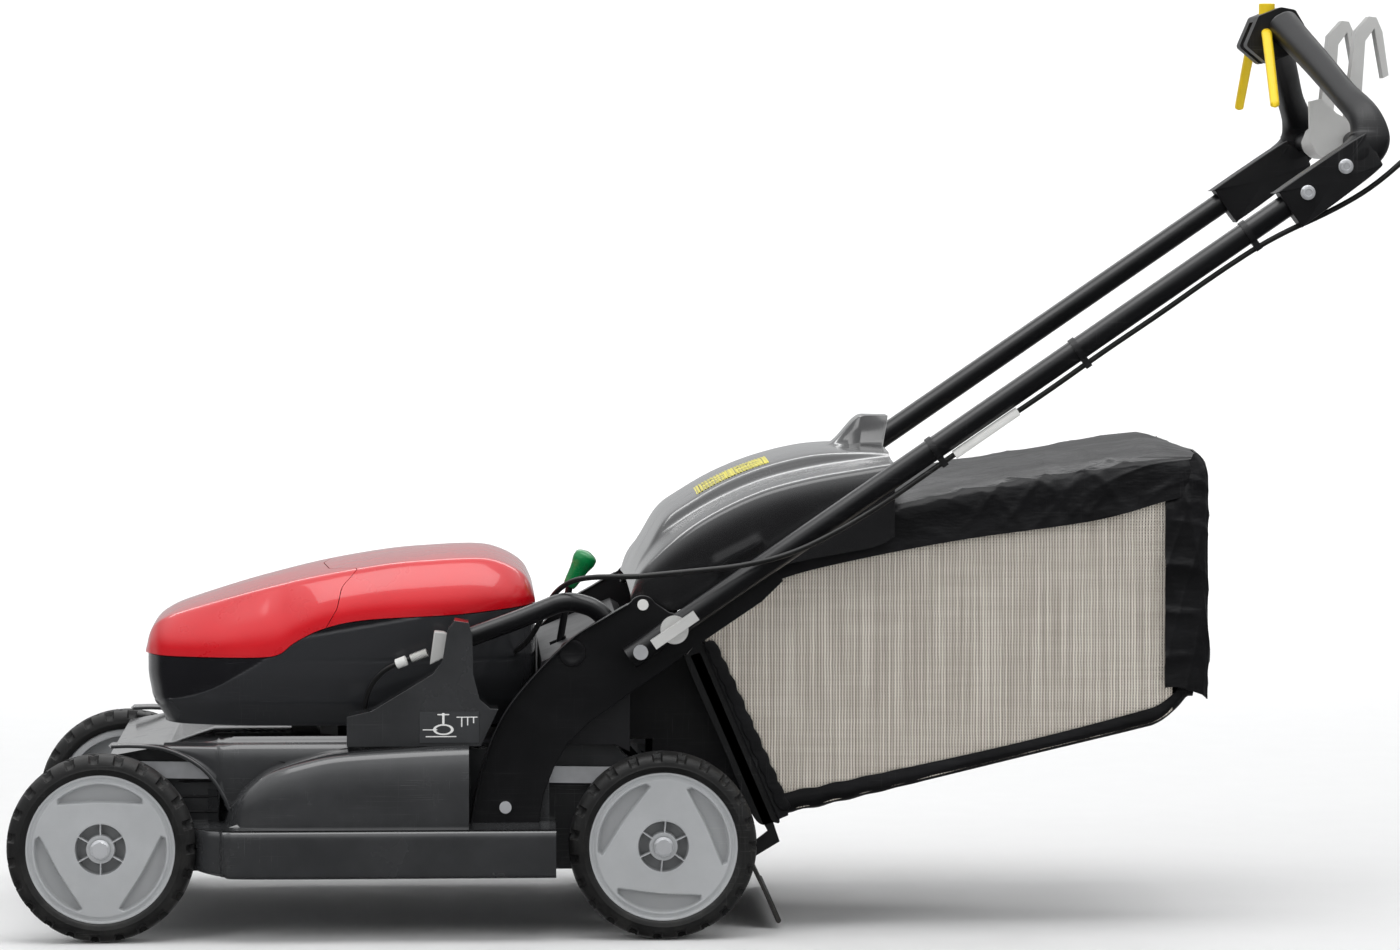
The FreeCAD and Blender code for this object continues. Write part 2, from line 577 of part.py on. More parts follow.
TOWER = [("106", "deck_top + 1"), ("125", "146"), ("116", "146.6"), ("104.5", "157.3"), ("98", "184"),
         ("97", "226"), ("93", "240"), ("78", "242"), ("70", "231"), ("64.7", "198"), ("54", "184"),
         ("-11.7", "144.4"), ("-38.6", "138"), ("-38.6", "deck_top + 1")]
tower = plate("side_cover", TOWER, "-236", "-192")
room = sketch(tower, "room_outline", "XZ_Plane", "192", [
    ("102", "deck_top - 4"), ("102", "146"), ("94", "180"), ("92", "226"), ("76", "236"), ("70", "198"),
    ("58", "180"), ("-10", "140"), ("-34", "134"), ("-34", "deck_top - 4")])
solid_volume = volume_now(tower)
hollow = tower.newObject("PartDesign::Pocket", "room")
hollow.Profile = room
hollow.Length = 40
hollow.Reversed = True
pocket_took(tower, solid_volume, "side_cover room")
slot = sketch(tower, "slot_outline", "XZ_Plane", "192", [
    ("40", "188"), ("90", "196"), ("90", "230"), ("40", "233")])
hollow_volume = volume_now(tower)
slit = tower.newObject("PartDesign::Pocket", "trigger_slot")
slit.Profile = slot
slit.Length = 30
slit.Reversed = True
pocket_took(tower, hollow_volume, "trigger slot")
keep(tower, "side_cover")

LIFT_Y = -205
LIFT_LINE = [(90, 220), (153, 242.7), (200, 262), (234, 252), (250, 227)]
lift_path = [(x, LIFT_Y, z) for x, z in LIFT_LINE]
lift_handle = pipe(lift_path, 21, "lift_handle")
feature("lift_handle", lift_handle.cut(side_solid(TOWER, -236, -192)).cut(hump_side))
TRIGGER = [("51", "193"), ("66", "200"), ("74", "204"), ("74", "224"), ("66", "228"), ("56", "229")]
feature("height_trigger", side_solid(TRIGGER, -219, -197))

# ---------------------------------------------------------------- stays and their fasteners

pivot = spot("pivot_x", "0", "pivot_z")
flap_pin = spot("flap_x", "0", "flap_z")
knob_place = pivot + Vector(36.2, 0, 24.4)
STAY = [("92.6", "skirt_high + free_gap"), ("169", "skirt_high + free_gap"), ("169", "29"),
        ("174", "55"), ("186", "85"), ("200", "109"),
        ("222.6", "131.4"), ("270", "165"), ("pivot_x + 32", "pivot_z - 18"),
        ("pivot_x + 60", "pivot_z + 4", "-32"),
        (f"{knob_place.x - 4}", f"{knob_place.z + 16}"), ("flap_x + 13", "flap_z + 2", "-15"),
        ("flap_x - 13", "flap_z + 3"), ("203", "222.7"), ("160", "179.7"), ("128", "137"), ("106.6", "83")]
for label, low, high in (("stay_left", "-stay_y - stay_plate", "-stay_y"),
                         ("stay_right", "stay_y", "stay_y + stay_plate")):
    keep(plate(label, STAY, low, high, circles=[
        ("pivot_x", "pivot_z", "pin_dia / 2"), ("flap_x", "flap_z", "flap_pin / 2"),
        (lower_bolt.x, lower_bolt.z, "pin_dia / 2"), (knob_place.x, knob_place.z, "5")]), label)

bolt_radius = size("pin_dia / 2")
tube_out = size("tube_y + tube_dia / 2")
lower = across(lower_bolt, 222, stay_high, bolt_radius).fuse(
    across(lower_bolt, stay_high, stay_high + 5, 6.5))
pivot_bolt = across(pivot, stay_low - 6, tube_out + 1, bolt_radius).multiFuse([
    across(pivot, tube_out + 1, tube_out + 6, 8), across(pivot, stay_low - 6, stay_low, 8)])
arm_pin = across(front_pivot, wall_half - 12, arm_high + 0.6, pin_radius)
feature("frame_bolts", Part.makeCompound(
    [s for bolt in (lower, pivot_bolt, arm_pin) for s in (bolt, mirrored(bolt))]))
flap_pin_radius = size("flap_pin / 2")
hinge_pin = across(flap_pin, size("flap_half") - 12, stay_high, flap_pin_radius).fuse(
    across(flap_pin, stay_high, stay_high + 2, 6))
feature("flap_pins", Part.makeCompound([hinge_pin, mirrored(hinge_pin)]))


# ---------------------------------------------------------------- engine

engine_half = size("engine_half")
wall = size("shell_wall")
ENGINE_SIDE = [("engine_front", "195"), ("engine_front + 12", "229"), ("-211", "246.8"), ("-113", "277.9"),
               ("-7", "297.9"), ("54", "302.9"), ("105", "305.7"), ("136", "295.4"),
               ("157.7", "282.4"), ("engine_rear", "249"), ("engine_rear - 6", "150"),
               ("engine_rear - 30", "shroud_low"), ("engine_front + 22", "shroud_low"),
               ("engine_front + 8", "145")]
ENGINE_PLAN = [("engine_front", "-78"), ("engine_front + 26", "-118"), ("-150", "-engine_half + 12"),
               ("-60", "-engine_half"), ("90", "-engine_half"), ("engine_rear - 16", "-138"),
               ("engine_rear", "-100"), ("engine_rear", "100"), ("engine_rear - 16", "138"),
               ("90", "engine_half"), ("-60", "engine_half"), ("-150", "engine_half - 12"),
               ("engine_front + 26", "118"), ("engine_front", "78")]
outer, inner = hollowed(ENGINE_SIDE, ENGINE_PLAN, 110, 320, 200, wall)
casing = outer.cut(inner)
SEAM = [("engine_front - 10", "195"), ("-117", "195"), ("-96", "214"), ("-65", "229"), ("-20", "238.5"),
        ("72", "242.7"), ("engine_rear + 10", "254")]
above = side_solid(SEAM + [("engine_rear + 10", "340"), ("engine_front - 10", "340")], -200, 200)
below_points = [(x, f"{z} - seam_gap") for x, z in SEAM]
below = side_solid(below_points + [("engine_rear + 10", "100"), ("engine_front - 10", "100")], -200, 200)
SPLIT_X = -66
front_part = block(Vector(-300, -200, 100), Vector(SPLIT_X, 200, 340))
rear_part = block(Vector(SPLIT_X + size("seam_gap"), -200, 100), Vector(200, 200, 340))
cover = casing.common(above)
feature("engine_cover_front", cover.common(front_part))
feature("engine_cover_rear", cover.common(rear_part))
shroud_floor = plan_solid([("-200", "-130"), ("130", "-130"), ("130", "130"), ("-200", "130")], 100, 130)
feature("engine_shroud", casing.common(below).cut(shroud_floor))

crankcase = Part.makeCylinder(82, 92, Vector(0, 0, 124)).fuse(Part.makeCylinder(98, 10, Vector(0, 0, 124)))
for turn in (95, 165, 235, 305):
    foot = Part.makeBox(30, 24, 21, Vector(76, -12, deck_top))
    foot.rotate(Vector(), Vector(0, 0, 1), turn)
    crankcase = crankcase.fuse(foot)
crankcase = crankcase.cut(Part.makeCylinder(42, 60, Vector(0, 0, 136))).cut(
    Part.makeCylinder(size("shaft_dia / 2 + running_gap"), 200, Vector(0, 0, 100)))
barrel = rod(Vector(-70, 0, 165), Vector(-196, 0, 165), 40)
for step in range(9):
    barrel = barrel.fuse(block(Vector(-108 - step * 9, -58, 134), Vector(-105 - step * 9, 58, 214)))
feature("engine_block", crankcase.fuse(barrel).cut(rod(Vector(-30, 0, 165), Vector(-180, 0, 165), 32)).cut(
    Part.makeCylinder(42, 60, Vector(0, 0, 136))).removeSplitter())


def rounded_block(low, high, radius):
    """A box with every edge rounded."""
    box = block(low, high)
    return box.makeFillet(radius, box.Edges)


feature("muffler", rounded_block(Vector(-236, -56, 140), Vector(-204, 56, 200), 8))
filler = Part.makeCylinder(20, 12, Vector(111, 60, 220))
feature("fuel_tank", rounded_block(Vector(88, -118, 138), Vector(134, 118, 226), 10).fuse(filler))
feature("air_filter_box", rounded_block(Vector(-80, -152, 140), Vector(10, -104, 205), 7))

gear_x, gear_y = rear_pivot.x - 38, 138
gear_case = Part.makeCylinder(26, 58, Vector(gear_x, gear_y, -12)).fuse(
    across(rear_pivot, gear_y - 24, gear_y + 24, 19)).fuse(
    block(Vector(gear_x, gear_y - 22, 3), Vector(rear_pivot.x, gear_y + 22, 36)))
gear_case = gear_case.cut(across(rear_pivot, 0, 300, shaft_radius + running))
feature("transmission_case", gear_case.removeSplitter())
input_shaft = Part.makeCylinder(6, deck_top + 9 - 46, Vector(gear_x, gear_y, 46))
sheave = Part.makeCylinder(36, 1.5, Vector(gear_x, gear_y, deck_top + 1)).fuse(
    Part.makeCylinder(28, 7, Vector(gear_x, gear_y, deck_top + 2.5))).fuse(
    Part.makeCylinder(36, 1.5, Vector(gear_x, gear_y, deck_top + 9.5)))
feature("gearbox_pulley", input_shaft.fuse(sheave))
# ---------------------------------------------------------------- handle

tilt = math.radians(size("handle_angle"))
along_handle = Vector(math.cos(tilt), 0, math.sin(tilt))
up_handle = Vector(-math.sin(tilt), 0, math.cos(tilt))
tube_y = size("tube_y")
tube_radius = size("tube_dia / 2")
handle_length = size("handle_length")


def on_handle(along, up, y=0):
    """A point measured from the fold pivot, along the tubes and square to them."""
    return pivot + along_handle * along + up_handle * up + Vector(0, y, 0)


def handle_solid(points, low, high):
    """An outline in the tubes' own directions, extended from y = low to y = high."""
    corners = [on_handle(a, u, low) for a, u in points]
    return Part.Face(Part.makePolygon(corners + corners[:1])).extrude(Vector(0, high - low, 0))


tube = rod(on_handle(-14, 0, tube_y), on_handle(handle_length, 0, tube_y), tube_radius)
tube_bore = rod(on_handle(26, 0, tube_y), on_handle(handle_length + 5, 0, tube_y),
                tube_radius - size("tube_wall"))
bracket_low = stay_high + size("cap_room")
bracket = handle_solid([(-14, -16), (54, -31), (138, -31.6), (170, -26), (170, 4), (-14, 12)],
                       bracket_low, tube_y - tube_radius + 1.5)
pivot_hole = across(pivot, 200, 300, bolt_radius + running)
knob_hole = across(knob_place, 200, 300, 4 + running)
tube = tube.cut(tube_bore).fuse(bracket).cut(pivot_hole).cut(knob_hole).removeSplitter()
feature("handle_tube_right", tube)
feature("handle_tube_left", mirrored(tube))


def wing_knob(side):
    """Round boss with two wings and a stud that clamps the tube to the stay."""
    seat = tube_out + free
    knob = across(knob_place, seat, seat + 10, 15)
    wings = handle_solid([(16, -5.5), (72, -5.5), (72, 5.5), (16, 5.5)], seat + 8, seat + 20)
    stud = across(knob_place, stay_high + size("cap_room"), seat + 1, 4)
    whole = knob.multiFuse([wings, stud])
    return whole if side > 0 else mirrored(whole)


feature("wing_knob_right", wing_knob(1))
feature("wing_knob_left", wing_knob(-1))

CORNER_ALONG = 962
corner = on_handle(CORNER_ALONG, 5, tube_y)
module_end = spot("1003", "42", "888")
grip_radius = size("grip_dia / 2")
SLEEVE_HALF = 17
sleeve = handle_solid([(848, -20), (905, -19), (950, -16), (962, -12), (962, 20), (848, 17)],
                      tube_y - SLEEVE_HALF, tube_y + SLEEVE_HALF)
sleeve = sleeve.cut(rod(on_handle(800, 0, tube_y), on_handle(handle_length + free, 0, tube_y), tube_radius))
knee = Part.makeSphere(grip_radius + 4, corner)
grip = rod(corner, module_end, grip_radius)
side_piece = sleeve.multiFuse([knee, grip])
crossbar_radius = size("crossbar_dia / 2")
crossbar = Part.makeCylinder(crossbar_radius, 2 * tube_y, corner - Vector(0, 2 * tube_y, 0), Vector(0, 1, 0))
grips = side_piece.multiFuse([mirrored(side_piece), crossbar])
MODULE = [("961", "866"), ("975", "899"), ("1000", "909"), ("1016", "906"), ("1027", "888"), ("1014", "858"),
          ("985", "846")]
module_half = 42
module = side_solid(MODULE, -module_half, module_half)
module = module.makeFillet(5, [e for e in module.Edges if abs(e.tangentAt(e.FirstParameter).y) > 0.9])
lever_place = spot("983", "0", "880")
lever_hole = across(lever_place, -60, 60, 5 + running)
lever_notch = block(Vector(930, -14, 840), Vector(1004, 14, 893))
button_hole = Part.makeCylinder(9 + running, 50, Vector(990, 0, 892.5))
feature("grip_frame", grips.cut(side_solid(MODULE, -module_half, module_half)).removeSplitter())
feature("control_module", module.cut(lever_hole).cut(lever_notch).cut(button_hole).removeSplitter())
feature("safety_button", Part.makeCylinder(9, 15, Vector(990, 0, 899)))

WING_TIP = (979, 145, 796)
near_root = Vector(lever_place.x, module_half + 6, lever_place.z)
wing_rod = rod(near_root, Vector(*WING_TIP), 5).fuse(Part.makeSphere(5, near_root)).fuse(
    Part.makeSphere(5, Vector(*WING_TIP)))
bail = across(lever_place, -module_half - 6, module_half + 6, 5)
feature("blade_lever", bail.multiFuse([wing_rod, mirrored(wing_rod)]))

bar_centre = Vector(corner.x, 0, corner.z)
collar = across(bar_centre, -126, 126, 19)
LOBE = [("1020", "803"), ("1032", "806"), ("1050", "790"), (f"{corner.x + 12}", f"{corner.z + 14}"),
        (f"{corner.x}", f"{corner.z - 22}"), ("1040", "738"), ("1028", "745"), ("1021", "760")]
HOOK = [("1062", "775"), ("1078", "775"), ("1084", "870"), ("1094", "884"), ("1104", "829"),
        ("1110", "832"), ("1103", "880"), ("1096", "896"), ("1088", "897"), ("1073", "880")]
lobes = side_solid(LOBE, -126, -112).fuse(across(bar_centre, -126, -112, 25))
hook = side_solid(HOOK, -108, -82)
control = collar.multiFuse([lobes, mirrored(lobes), hook, mirrored(hook)])
control = control.cut(across(bar_centre, -200, 200, crossbar_radius + running))
feature("drive_lever", control.removeSplitter())

bolt_places = [on_handle(a, 0, tube_y) for a in (871.4, 921)]
head_seat = tube_y + SLEEVE_HALF
heads = [across(p, head_seat, head_seat + 4, 6.5).cut(across(p, head_seat + 2, head_seat + 13, 3))
         for p in bolt_places]
feature("handle_bolts", Part.makeCompound(heads + [mirrored(h) for h in heads]))

cable_radius = size("cable_dia / 2")
under = -tube_radius - cable_radius - 1
CABLE_ON_HANDLE = [
    (984, -31, -252), (945, -37, -255), (885, -33, -257), (815, under - 3, -258), (742, under - 1, -257),
    (668, under - 2, -258), (592, under - 1, -257), (520, under - 2, -259), (446, under - 1, -258),
    (372, under - 1, -259), (306, under - 1, -263), (246, -13, -272), (190, -4, -275.5), (140, 16, -275.5),
    (96, 40, -273), (46, 67, -262)]
cable_route = [tuple(on_handle(a, u, y)) for a, u, y in CABLE_ON_HANDLE]
control_cable = pipe(cable_route, 2 * cable_radius, "control_cable")
feature("control_cable", control_cable)
cable_room = pipe(cable_route, 2 * cable_radius + 0.1, "cable room")
CLIPS_AT = (381, 569, 792)
CLIP_LONG = 7
clips = []
for along in CLIPS_AT:
    ring = rod(on_handle(along, 0, -tube_y), on_handle(along + CLIP_LONG, 0, -tube_y), tube_radius + 1.6)
    past = along + CLIP_LONG
    hook = handle_solid([(along, under - 6), (past, under - 6), (past, 0), (along, 0)],
                        -tube_y - 8, -tube_y + 2)
    bore = rod(on_handle(along - 5, 0, -tube_y), on_handle(along + 12, 0, -tube_y), tube_radius)
    clips.append(ring.fuse(hook).cut(bore).cut(cable_room))
feature("cable_clips", Part.makeCompound(clips))
adjuster = rod(on_handle(399, under - 1.4, -258.5), on_handle(482, under - 1.4, -258.5), cable_radius + 2)
feature("cable_adjuster", adjuster.cut(cable_room).cut(rod(
    on_handle(380, 0, -tube_y), on_handle(500, 0, -tube_y), tube_radius)))

cable_end = cable_route[-1]
DECK_CABLE = [cable_end, (cable_end[0] - 26, -254, cable_end[2] - 1), (226, -236, 289), (203, -212, 283),
              (184, -186, 266), (172, -168, 236), (156, -152, 208), (138, -136, 196)]
deck_cable = pipe(DECK_CABLE, 2 * cable_radius, "deck_cable").cut(outer).cut(control_cable)
feature("deck_cable", deck_cable)
TRIGGER_CABLE = [(49, -208, 206), (26, -206, 197), (2, -199, 187), (-14, -189, 168), (-21, -182, 142),
                 (-22, -179, deck_top)]
feature("trigger_cable", pipe(TRIGGER_CABLE, 5, "trigger_cable").cut(deck))

# ---------------------------------------------------------------- belt drive

crank_groove = 22
sheave_groove = 28
belt_low, belt_high = deck_top + 3, deck_top + 9
centre_a, centre_b = Vector(0, 0, belt_low), Vector(gear_x, gear_y, belt_low)


def belt_loop(radius_a, radius_b):
    """The outline round two pulleys, as a solid between the belt's faces."""
    gap = centre_b - centre_a
    lean = math.acos((radius_a - radius_b) / gap.Length)
    heading = math.atan2(gap.y, gap.x)
    corners = []
    for centre, radius, sign in ((centre_a, radius_a, 1), (centre_b, radius_b, 1),
                                 (centre_b, radius_b, -1), (centre_a, radius_a, -1)):
        angle = heading + sign * lean
        corners.append(centre + Vector(math.cos(angle), math.sin(angle), 0) * radius)
    middle = Part.Face(Part.makePolygon(corners + corners[:1])).extrude(Vector(0, 0, belt_high - belt_low))
    ends = [Part.makeCylinder(r, belt_high - belt_low, c)
            for c, r in ((centre_a, radius_a), (centre_b, radius_b))]
    return middle.multiFuse(ends)


feature("drive_belt", belt_loop(crank_groove + 6, sheave_groove + 6).cut(
    belt_loop(crank_groove + size("belt_gap"), sheave_groove + size("belt_gap"))))

# ---------------------------------------------------------------- discharge flap

flap_half = size("flap_half")
flap_wall = size("flap_wall")
FLAP_SIDE = [("flap_x + 4", "flap_z - 11"), ("350", "256"), ("439", "300"), ("530", "318"), ("549", "334"),
             ("545", "409"), ("464", "393"), ("412", "379"), ("361", "356"), ("319", "329"), ("281", "294"),
             ("flap_x - 12", "flap_z + 6"), ("flap_x - 11", "flap_z - 6")]
FLAP_ROOM = [("flap_x + 14", "200"), ("600", "200"), ("600", "405"), ("545", "405"), ("464", "389"),
             ("413", "375"), ("363", "352"), ("322", "325"), ("290", "296"), ("flap_x + 14", "flap_z + 8")]
CROWN_SIDE = [("300", "300"), ("549", "400"), ("549", "417"), ("471", "417"), ("420", "404"), ("374", "386"),
              ("335", "364"), ("309", "345"), ("290", "314"), ("281", "294")]
CROWN_ROOM = [("304", "290"), ("600", "396"), ("600", "413"), ("471", "413"), ("420", "400"), ("376", "382"),
              ("337", "360"), ("312", "342"), ("296", "316")]
crown_half = 128
ear = across(flap_pin, flap_half - 10, flap_half, 10)
flap = side_solid(FLAP_SIDE, -flap_half, flap_half).fuse(side_solid(CROWN_SIDE, -crown_half, crown_half))
flap = flap.cut(side_solid(FLAP_ROOM, flap_wall - flap_half, flap_half - flap_wall))
flap = flap.cut(side_solid(CROWN_ROOM, flap_wall - crown_half, crown_half - flap_wall))
lug = side_solid([("501", "414"), ("549", "414"), ("537", "453"), ("532", "454")], -36, 36)
flap = flap.multiFuse([ear, mirrored(ear), lug]).cut(across(flap_pin, -300, 300, flap_pin_radius + running))
feature("discharge_flap", flap.removeSplitter())

# ---------------------------------------------------------------- grass bag

bag_half = size("bag_half")
bag_wall = size("bag_wall")
FRAME_SIDE = [("350", "206"), ("430", "20"), ("442", "25"), ("362", "211")]
mouth_half = bag_half - 16
mouth = side_solid([("330", "184"), ("410", "30"), ("480", "60"), ("400", "220"), ("345", "195")],
                   -mouth_half, mouth_half)
mouth_edge = side_solid([("330", "186"), ("404", "34"), ("470", "55"), ("380", "205")],
                        -mouth_half, mouth_half)
feature("bag_frame", side_solid(FRAME_SIDE, -bag_half, bag_half).cut(mouth.common(mouth_edge)))
BAG_SIDE = [("362", "211"), ("442", "25"), ("846", "121"), ("903", "168"), ("903", "405"), ("889", "421"),
            ("832", "432"), ("556", "390"), ("462", "352"), ("405", "300")]
BAG_ROOM = [("441", "34"), ("446", "30"), ("844", "125"), ("899", "170"),
            ("899", "403"), ("887", "417"), ("832", "428"), ("557", "386"), ("464", "348"), ("408", "297"),
            ("370", "214")]
bag = side_solid(BAG_SIDE, -bag_half, bag_half)
bag_room = side_solid(BAG_ROOM, bag_wall - bag_half, bag_half - bag_wall)
mouth_room = side_solid([("374", "200"), ("446", "34"), ("430", "30"), ("356", "196")], bag_wall - bag_half,
                        bag_half - bag_wall)
bag = bag.cut(bag_room).cut(mouth_room)
TOP_EDGE = [("340", "262"), ("518", "305"), ("631", "326"), ("773", "346"), ("852", "369"), ("920", "384"),
            ("920", "460"), ("340", "460")]
top_space = side_solid(TOP_EDGE, -300, 300)
feature("bag_top", bag.common(top_space))
feature("bag_fabric", bag.cut(top_space))

# ---------------------------------------------------------------- trailing shield and chute lever

shield_hinge = Vector(398, 0, -18)
shield_half = 186
shield_end_z = size("9.5 - wheel_dia / 2")
blade_of_shield = side_solid([(396, -22), (400, -22), (433, shield_end_z), (429.5, shield_end_z)],
                             -shield_half, shield_half)
bead = across(Vector(431.2, 0, shield_end_z), -shield_half, shield_half, 3)
eye = across(shield_hinge, -shield_half, shield_half, 5.5)
feature("trailing_shield", blade_of_shield.multiFuse([bead, eye]).cut(
    across(shield_hinge, -300, 300, 3 + running)).removeSplitter())

LEVER_Y = -60
lever_hinge = Vector(189, LEVER_Y, 168)
lever_top = Vector(206, LEVER_Y, 268)
knob_ball = Vector(220.7, LEVER_Y, 293)
lever_rod = rod(lever_hinge, lever_top, 4).fuse(
    Part.makeCylinder(7, 18, Vector(180, LEVER_Y, 168), Vector(1, 0, 0)))
knob_axis = knob_ball - lever_top
knob_stem = Part.makeCone(7.5, 11, knob_axis.Length, lever_top, knob_axis)
knob = Part.makeSphere(13.7, knob_ball).fuse(knob_stem)
chute_lever = lever_rod.cut(Part.makeCylinder(3 + running, 60, Vector(160, LEVER_Y, 168), Vector(1, 0, 0)))
feature("chute_lever", chute_lever.fuse(knob).removeSplitter())


def write_parts():
    """Refuse a failed object, then write each sub-part to its own file."""
    doc.recompute()
    bad = [o.Label for o in doc.Objects if {"Invalid", "Error"} & set(o.State)]
    if bad:
        raise RuntimeError(f"failed: {bad}")
    os.makedirs("parts", exist_ok=True)
    for item in NODES:
        if item.Shape.isNull() or not item.Shape.isValid():
            raise RuntimeError(f"{item.Label}: bad shape")
        item.Shape.exportStep(f"parts/{item.Label}.step")
        print(item.Label, len(item.Shape.Solids), round(item.Shape.Volume / 1000, 1))


write_parts()
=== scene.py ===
import json
import math
import bpy
import bmesh
import numpy as np
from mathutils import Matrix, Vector

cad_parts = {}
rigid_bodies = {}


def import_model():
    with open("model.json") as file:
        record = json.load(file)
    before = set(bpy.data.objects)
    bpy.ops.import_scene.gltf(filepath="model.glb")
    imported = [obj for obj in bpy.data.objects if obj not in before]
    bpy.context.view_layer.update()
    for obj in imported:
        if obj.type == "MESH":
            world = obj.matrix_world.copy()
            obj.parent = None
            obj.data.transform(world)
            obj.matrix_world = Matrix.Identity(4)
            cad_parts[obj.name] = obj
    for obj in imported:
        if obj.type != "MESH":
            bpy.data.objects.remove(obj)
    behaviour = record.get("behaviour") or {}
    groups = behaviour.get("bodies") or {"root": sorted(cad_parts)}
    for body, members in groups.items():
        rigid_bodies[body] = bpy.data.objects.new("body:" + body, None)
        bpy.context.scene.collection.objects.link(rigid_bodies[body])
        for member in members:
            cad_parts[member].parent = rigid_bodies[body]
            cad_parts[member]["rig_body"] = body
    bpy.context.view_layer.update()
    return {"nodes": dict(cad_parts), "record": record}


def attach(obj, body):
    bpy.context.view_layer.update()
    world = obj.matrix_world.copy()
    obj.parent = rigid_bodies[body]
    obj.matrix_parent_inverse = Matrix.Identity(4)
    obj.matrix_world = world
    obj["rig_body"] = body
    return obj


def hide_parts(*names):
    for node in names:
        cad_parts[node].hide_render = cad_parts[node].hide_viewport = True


# Petrol lawn mower with a rear grass bag. The shapes below are worked out in millimetres from the
# datum of the CAD model: the blade axis (x), the middle plane (y) and the height of the axles (z).

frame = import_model()
DATUM = np.array([-353.25, 0.0, 101.6])
MILLIMETRE = 0.001
WHEELS = {"front_left": (-302.25, -1), "front_right": (-302.25, 1),
          "rear_left": (302.25, -1), "rear_right": (302.25, 1)}
WHEEL_Y = 251
FOLD_PIVOT = np.array([277.75, 0.0, 210.1])
HANDLE_TILT = math.radians(34.5)
SIDES = ((-1, "left"), (1, "right"))
SAME_POINT = 2e-6  # metres
SAME_PLANE = math.radians(0.6)
ROUNDED_FROM = math.radians(50)


def world(points):
    """Datum millimetres to metres in the frame of the CAD model."""
    return (np.asarray(points, float) + DATUM) * MILLIMETRE


def on_handle(along, up, y=0.0):
    """A point measured from the fold pivot along the tubes and square to them."""
    cosine, sine = math.cos(HANDLE_TILT), math.sin(HANDLE_TILT)
    return FOLD_PIVOT + np.array([along * cosine - up * sine, y, along * sine + up * cosine])


def ease(low, high, value):
    """0 below low, 1 above high and a smooth S between them."""
    share = np.clip((np.asarray(value, float) - low) / (high - low), 0, 1)
    return share * share * (3 - 2 * share)


def through(knots, count, closed=False):
    """Catmull-Rom curve through the knots, sampled at count places of equal parameter."""
    knots = np.asarray(knots, float)
    if closed:
        padded = np.vstack([knots[-1], knots, knots[0], knots[1]])
        spans = len(knots)
    else:
        padded = np.vstack([2 * knots[0] - knots[1], knots, 2 * knots[-1] - knots[-2]])
        spans = len(knots) - 1
    place = np.linspace(0, spans, count, endpoint=not closed)
    span = np.minimum(place.astype(int), spans - 1)
    t = (place - span)[:, None]
    a, b, c, d = (padded[span + k] for k in range(4))
    return 0.5 * (2 * b + (c - a) * t + (2 * a - 5 * b + 4 * c - d) * t ** 2
                  + (3 * b - a - 3 * c + d) * t ** 3)


def table_of(knots):
    """A smooth function of x through (x, value) knots, as a callable on arrays."""
    fine = through(knots, 40 * len(knots))
    fine = fine[np.argsort(fine[:, 0])]
    return lambda x: np.interp(x, fine[:, 0], fine[:, 1])


def relaxed(values, rounds, axis=0):
    """Each inner value replaced, rounds times, by the mean of itself (twice) and its two neighbours."""
    values = np.moveaxis(np.array(values, float), axis, 0)
    for _ in range(rounds):
        values[1:-1] = (values[:-2] + 2 * values[1:-1] + values[2:]) / 4
    return np.moveaxis(values, 0, axis)


def built(name, points, faces, masks=None):
    """A mesh object from datum points and faces, turned outwards by the sign of its volume."""
    points = world(points)
    faces = [np.asarray(f) for f in faces if len(f)]
    volume = 0.0
    for group in faces:
        for k in range(1, group.shape[1] - 1):
            a, b, c = points[group[:, 0]], points[group[:, k]], points[group[:, k + 1]]
            volume += np.einsum("ij,ij->", a, np.cross(b, c))
    if volume < 0:
        faces = [group[:, ::-1] for group in faces]
    mesh = bpy.data.meshes.new(name)
    mesh.from_pydata(points.tolist(), [], [f for group in faces for f in group.tolist()])
    for label, values in (masks or {}).items():
        mesh.attributes.new(label, "FLOAT", "POINT").data.foreach_set(
            "value", np.asarray(values, np.float32).ravel())
    mesh.update()
    item = bpy.data.objects.new(name, mesh)
    bpy.context.scene.collection.objects.link(item)
    return item


def finished(item, body, finish, stands_for=(), sharp=35, slot=None):
    """Smooth shading with sharp edges, the finish, the body it rides on and what it stands for."""
    slot = slot or SLOT_OF.get(finish.name)
    item.data.shade_smooth()
    item.data.set_sharp_from_angle(angle=math.radians(sharp))
    item.data.materials.clear()
    item.data.materials.append(finish)
    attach(item, body)
    if stands_for:
        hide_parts(*stands_for)
    return item


def tube_of_rings(name, rings, loop=False, masks=None):
    """Closed surface through a stack of closed rings; open ends are fanned to their middle points."""
    rings = np.asarray(rings, float)
    count, around, _ = rings.shape
    ids = np.arange(count * around).reshape(count, around)
    low, high = (ids, np.roll(ids, -1, 0)) if loop else (ids[:-1], ids[1:])
    quads = np.stack([low, np.roll(low, -1, 1), np.roll(high, -1, 1), high], -1).reshape(-1, 4)
    points, fans = rings.reshape(-1, 3), []
    if not loop:
        points = np.vstack([points, rings[0].mean(0), rings[-1].mean(0)])
        for row, middle, turn in ((ids[0], count * around, 1), (ids[-1], count * around + 1, -1)):
            fan = np.stack([row, np.full(around, middle), np.roll(row, -1)], -1)
            fans.append(fan[:, ::turn])
        masks = {k: np.append(np.ravel(v), [np.ravel(v)[0], np.ravel(v)[-1]]) for k,
                 v in (masks or {}).items()}
    return built(name, points, [quads] + ([np.vstack(fans)] if fans else []), masks)


def lofted(name, rings, *body_and_looks):
    """A tube of rings, finished."""
    finished(tube_of_rings(name, rings), *body_and_looks)


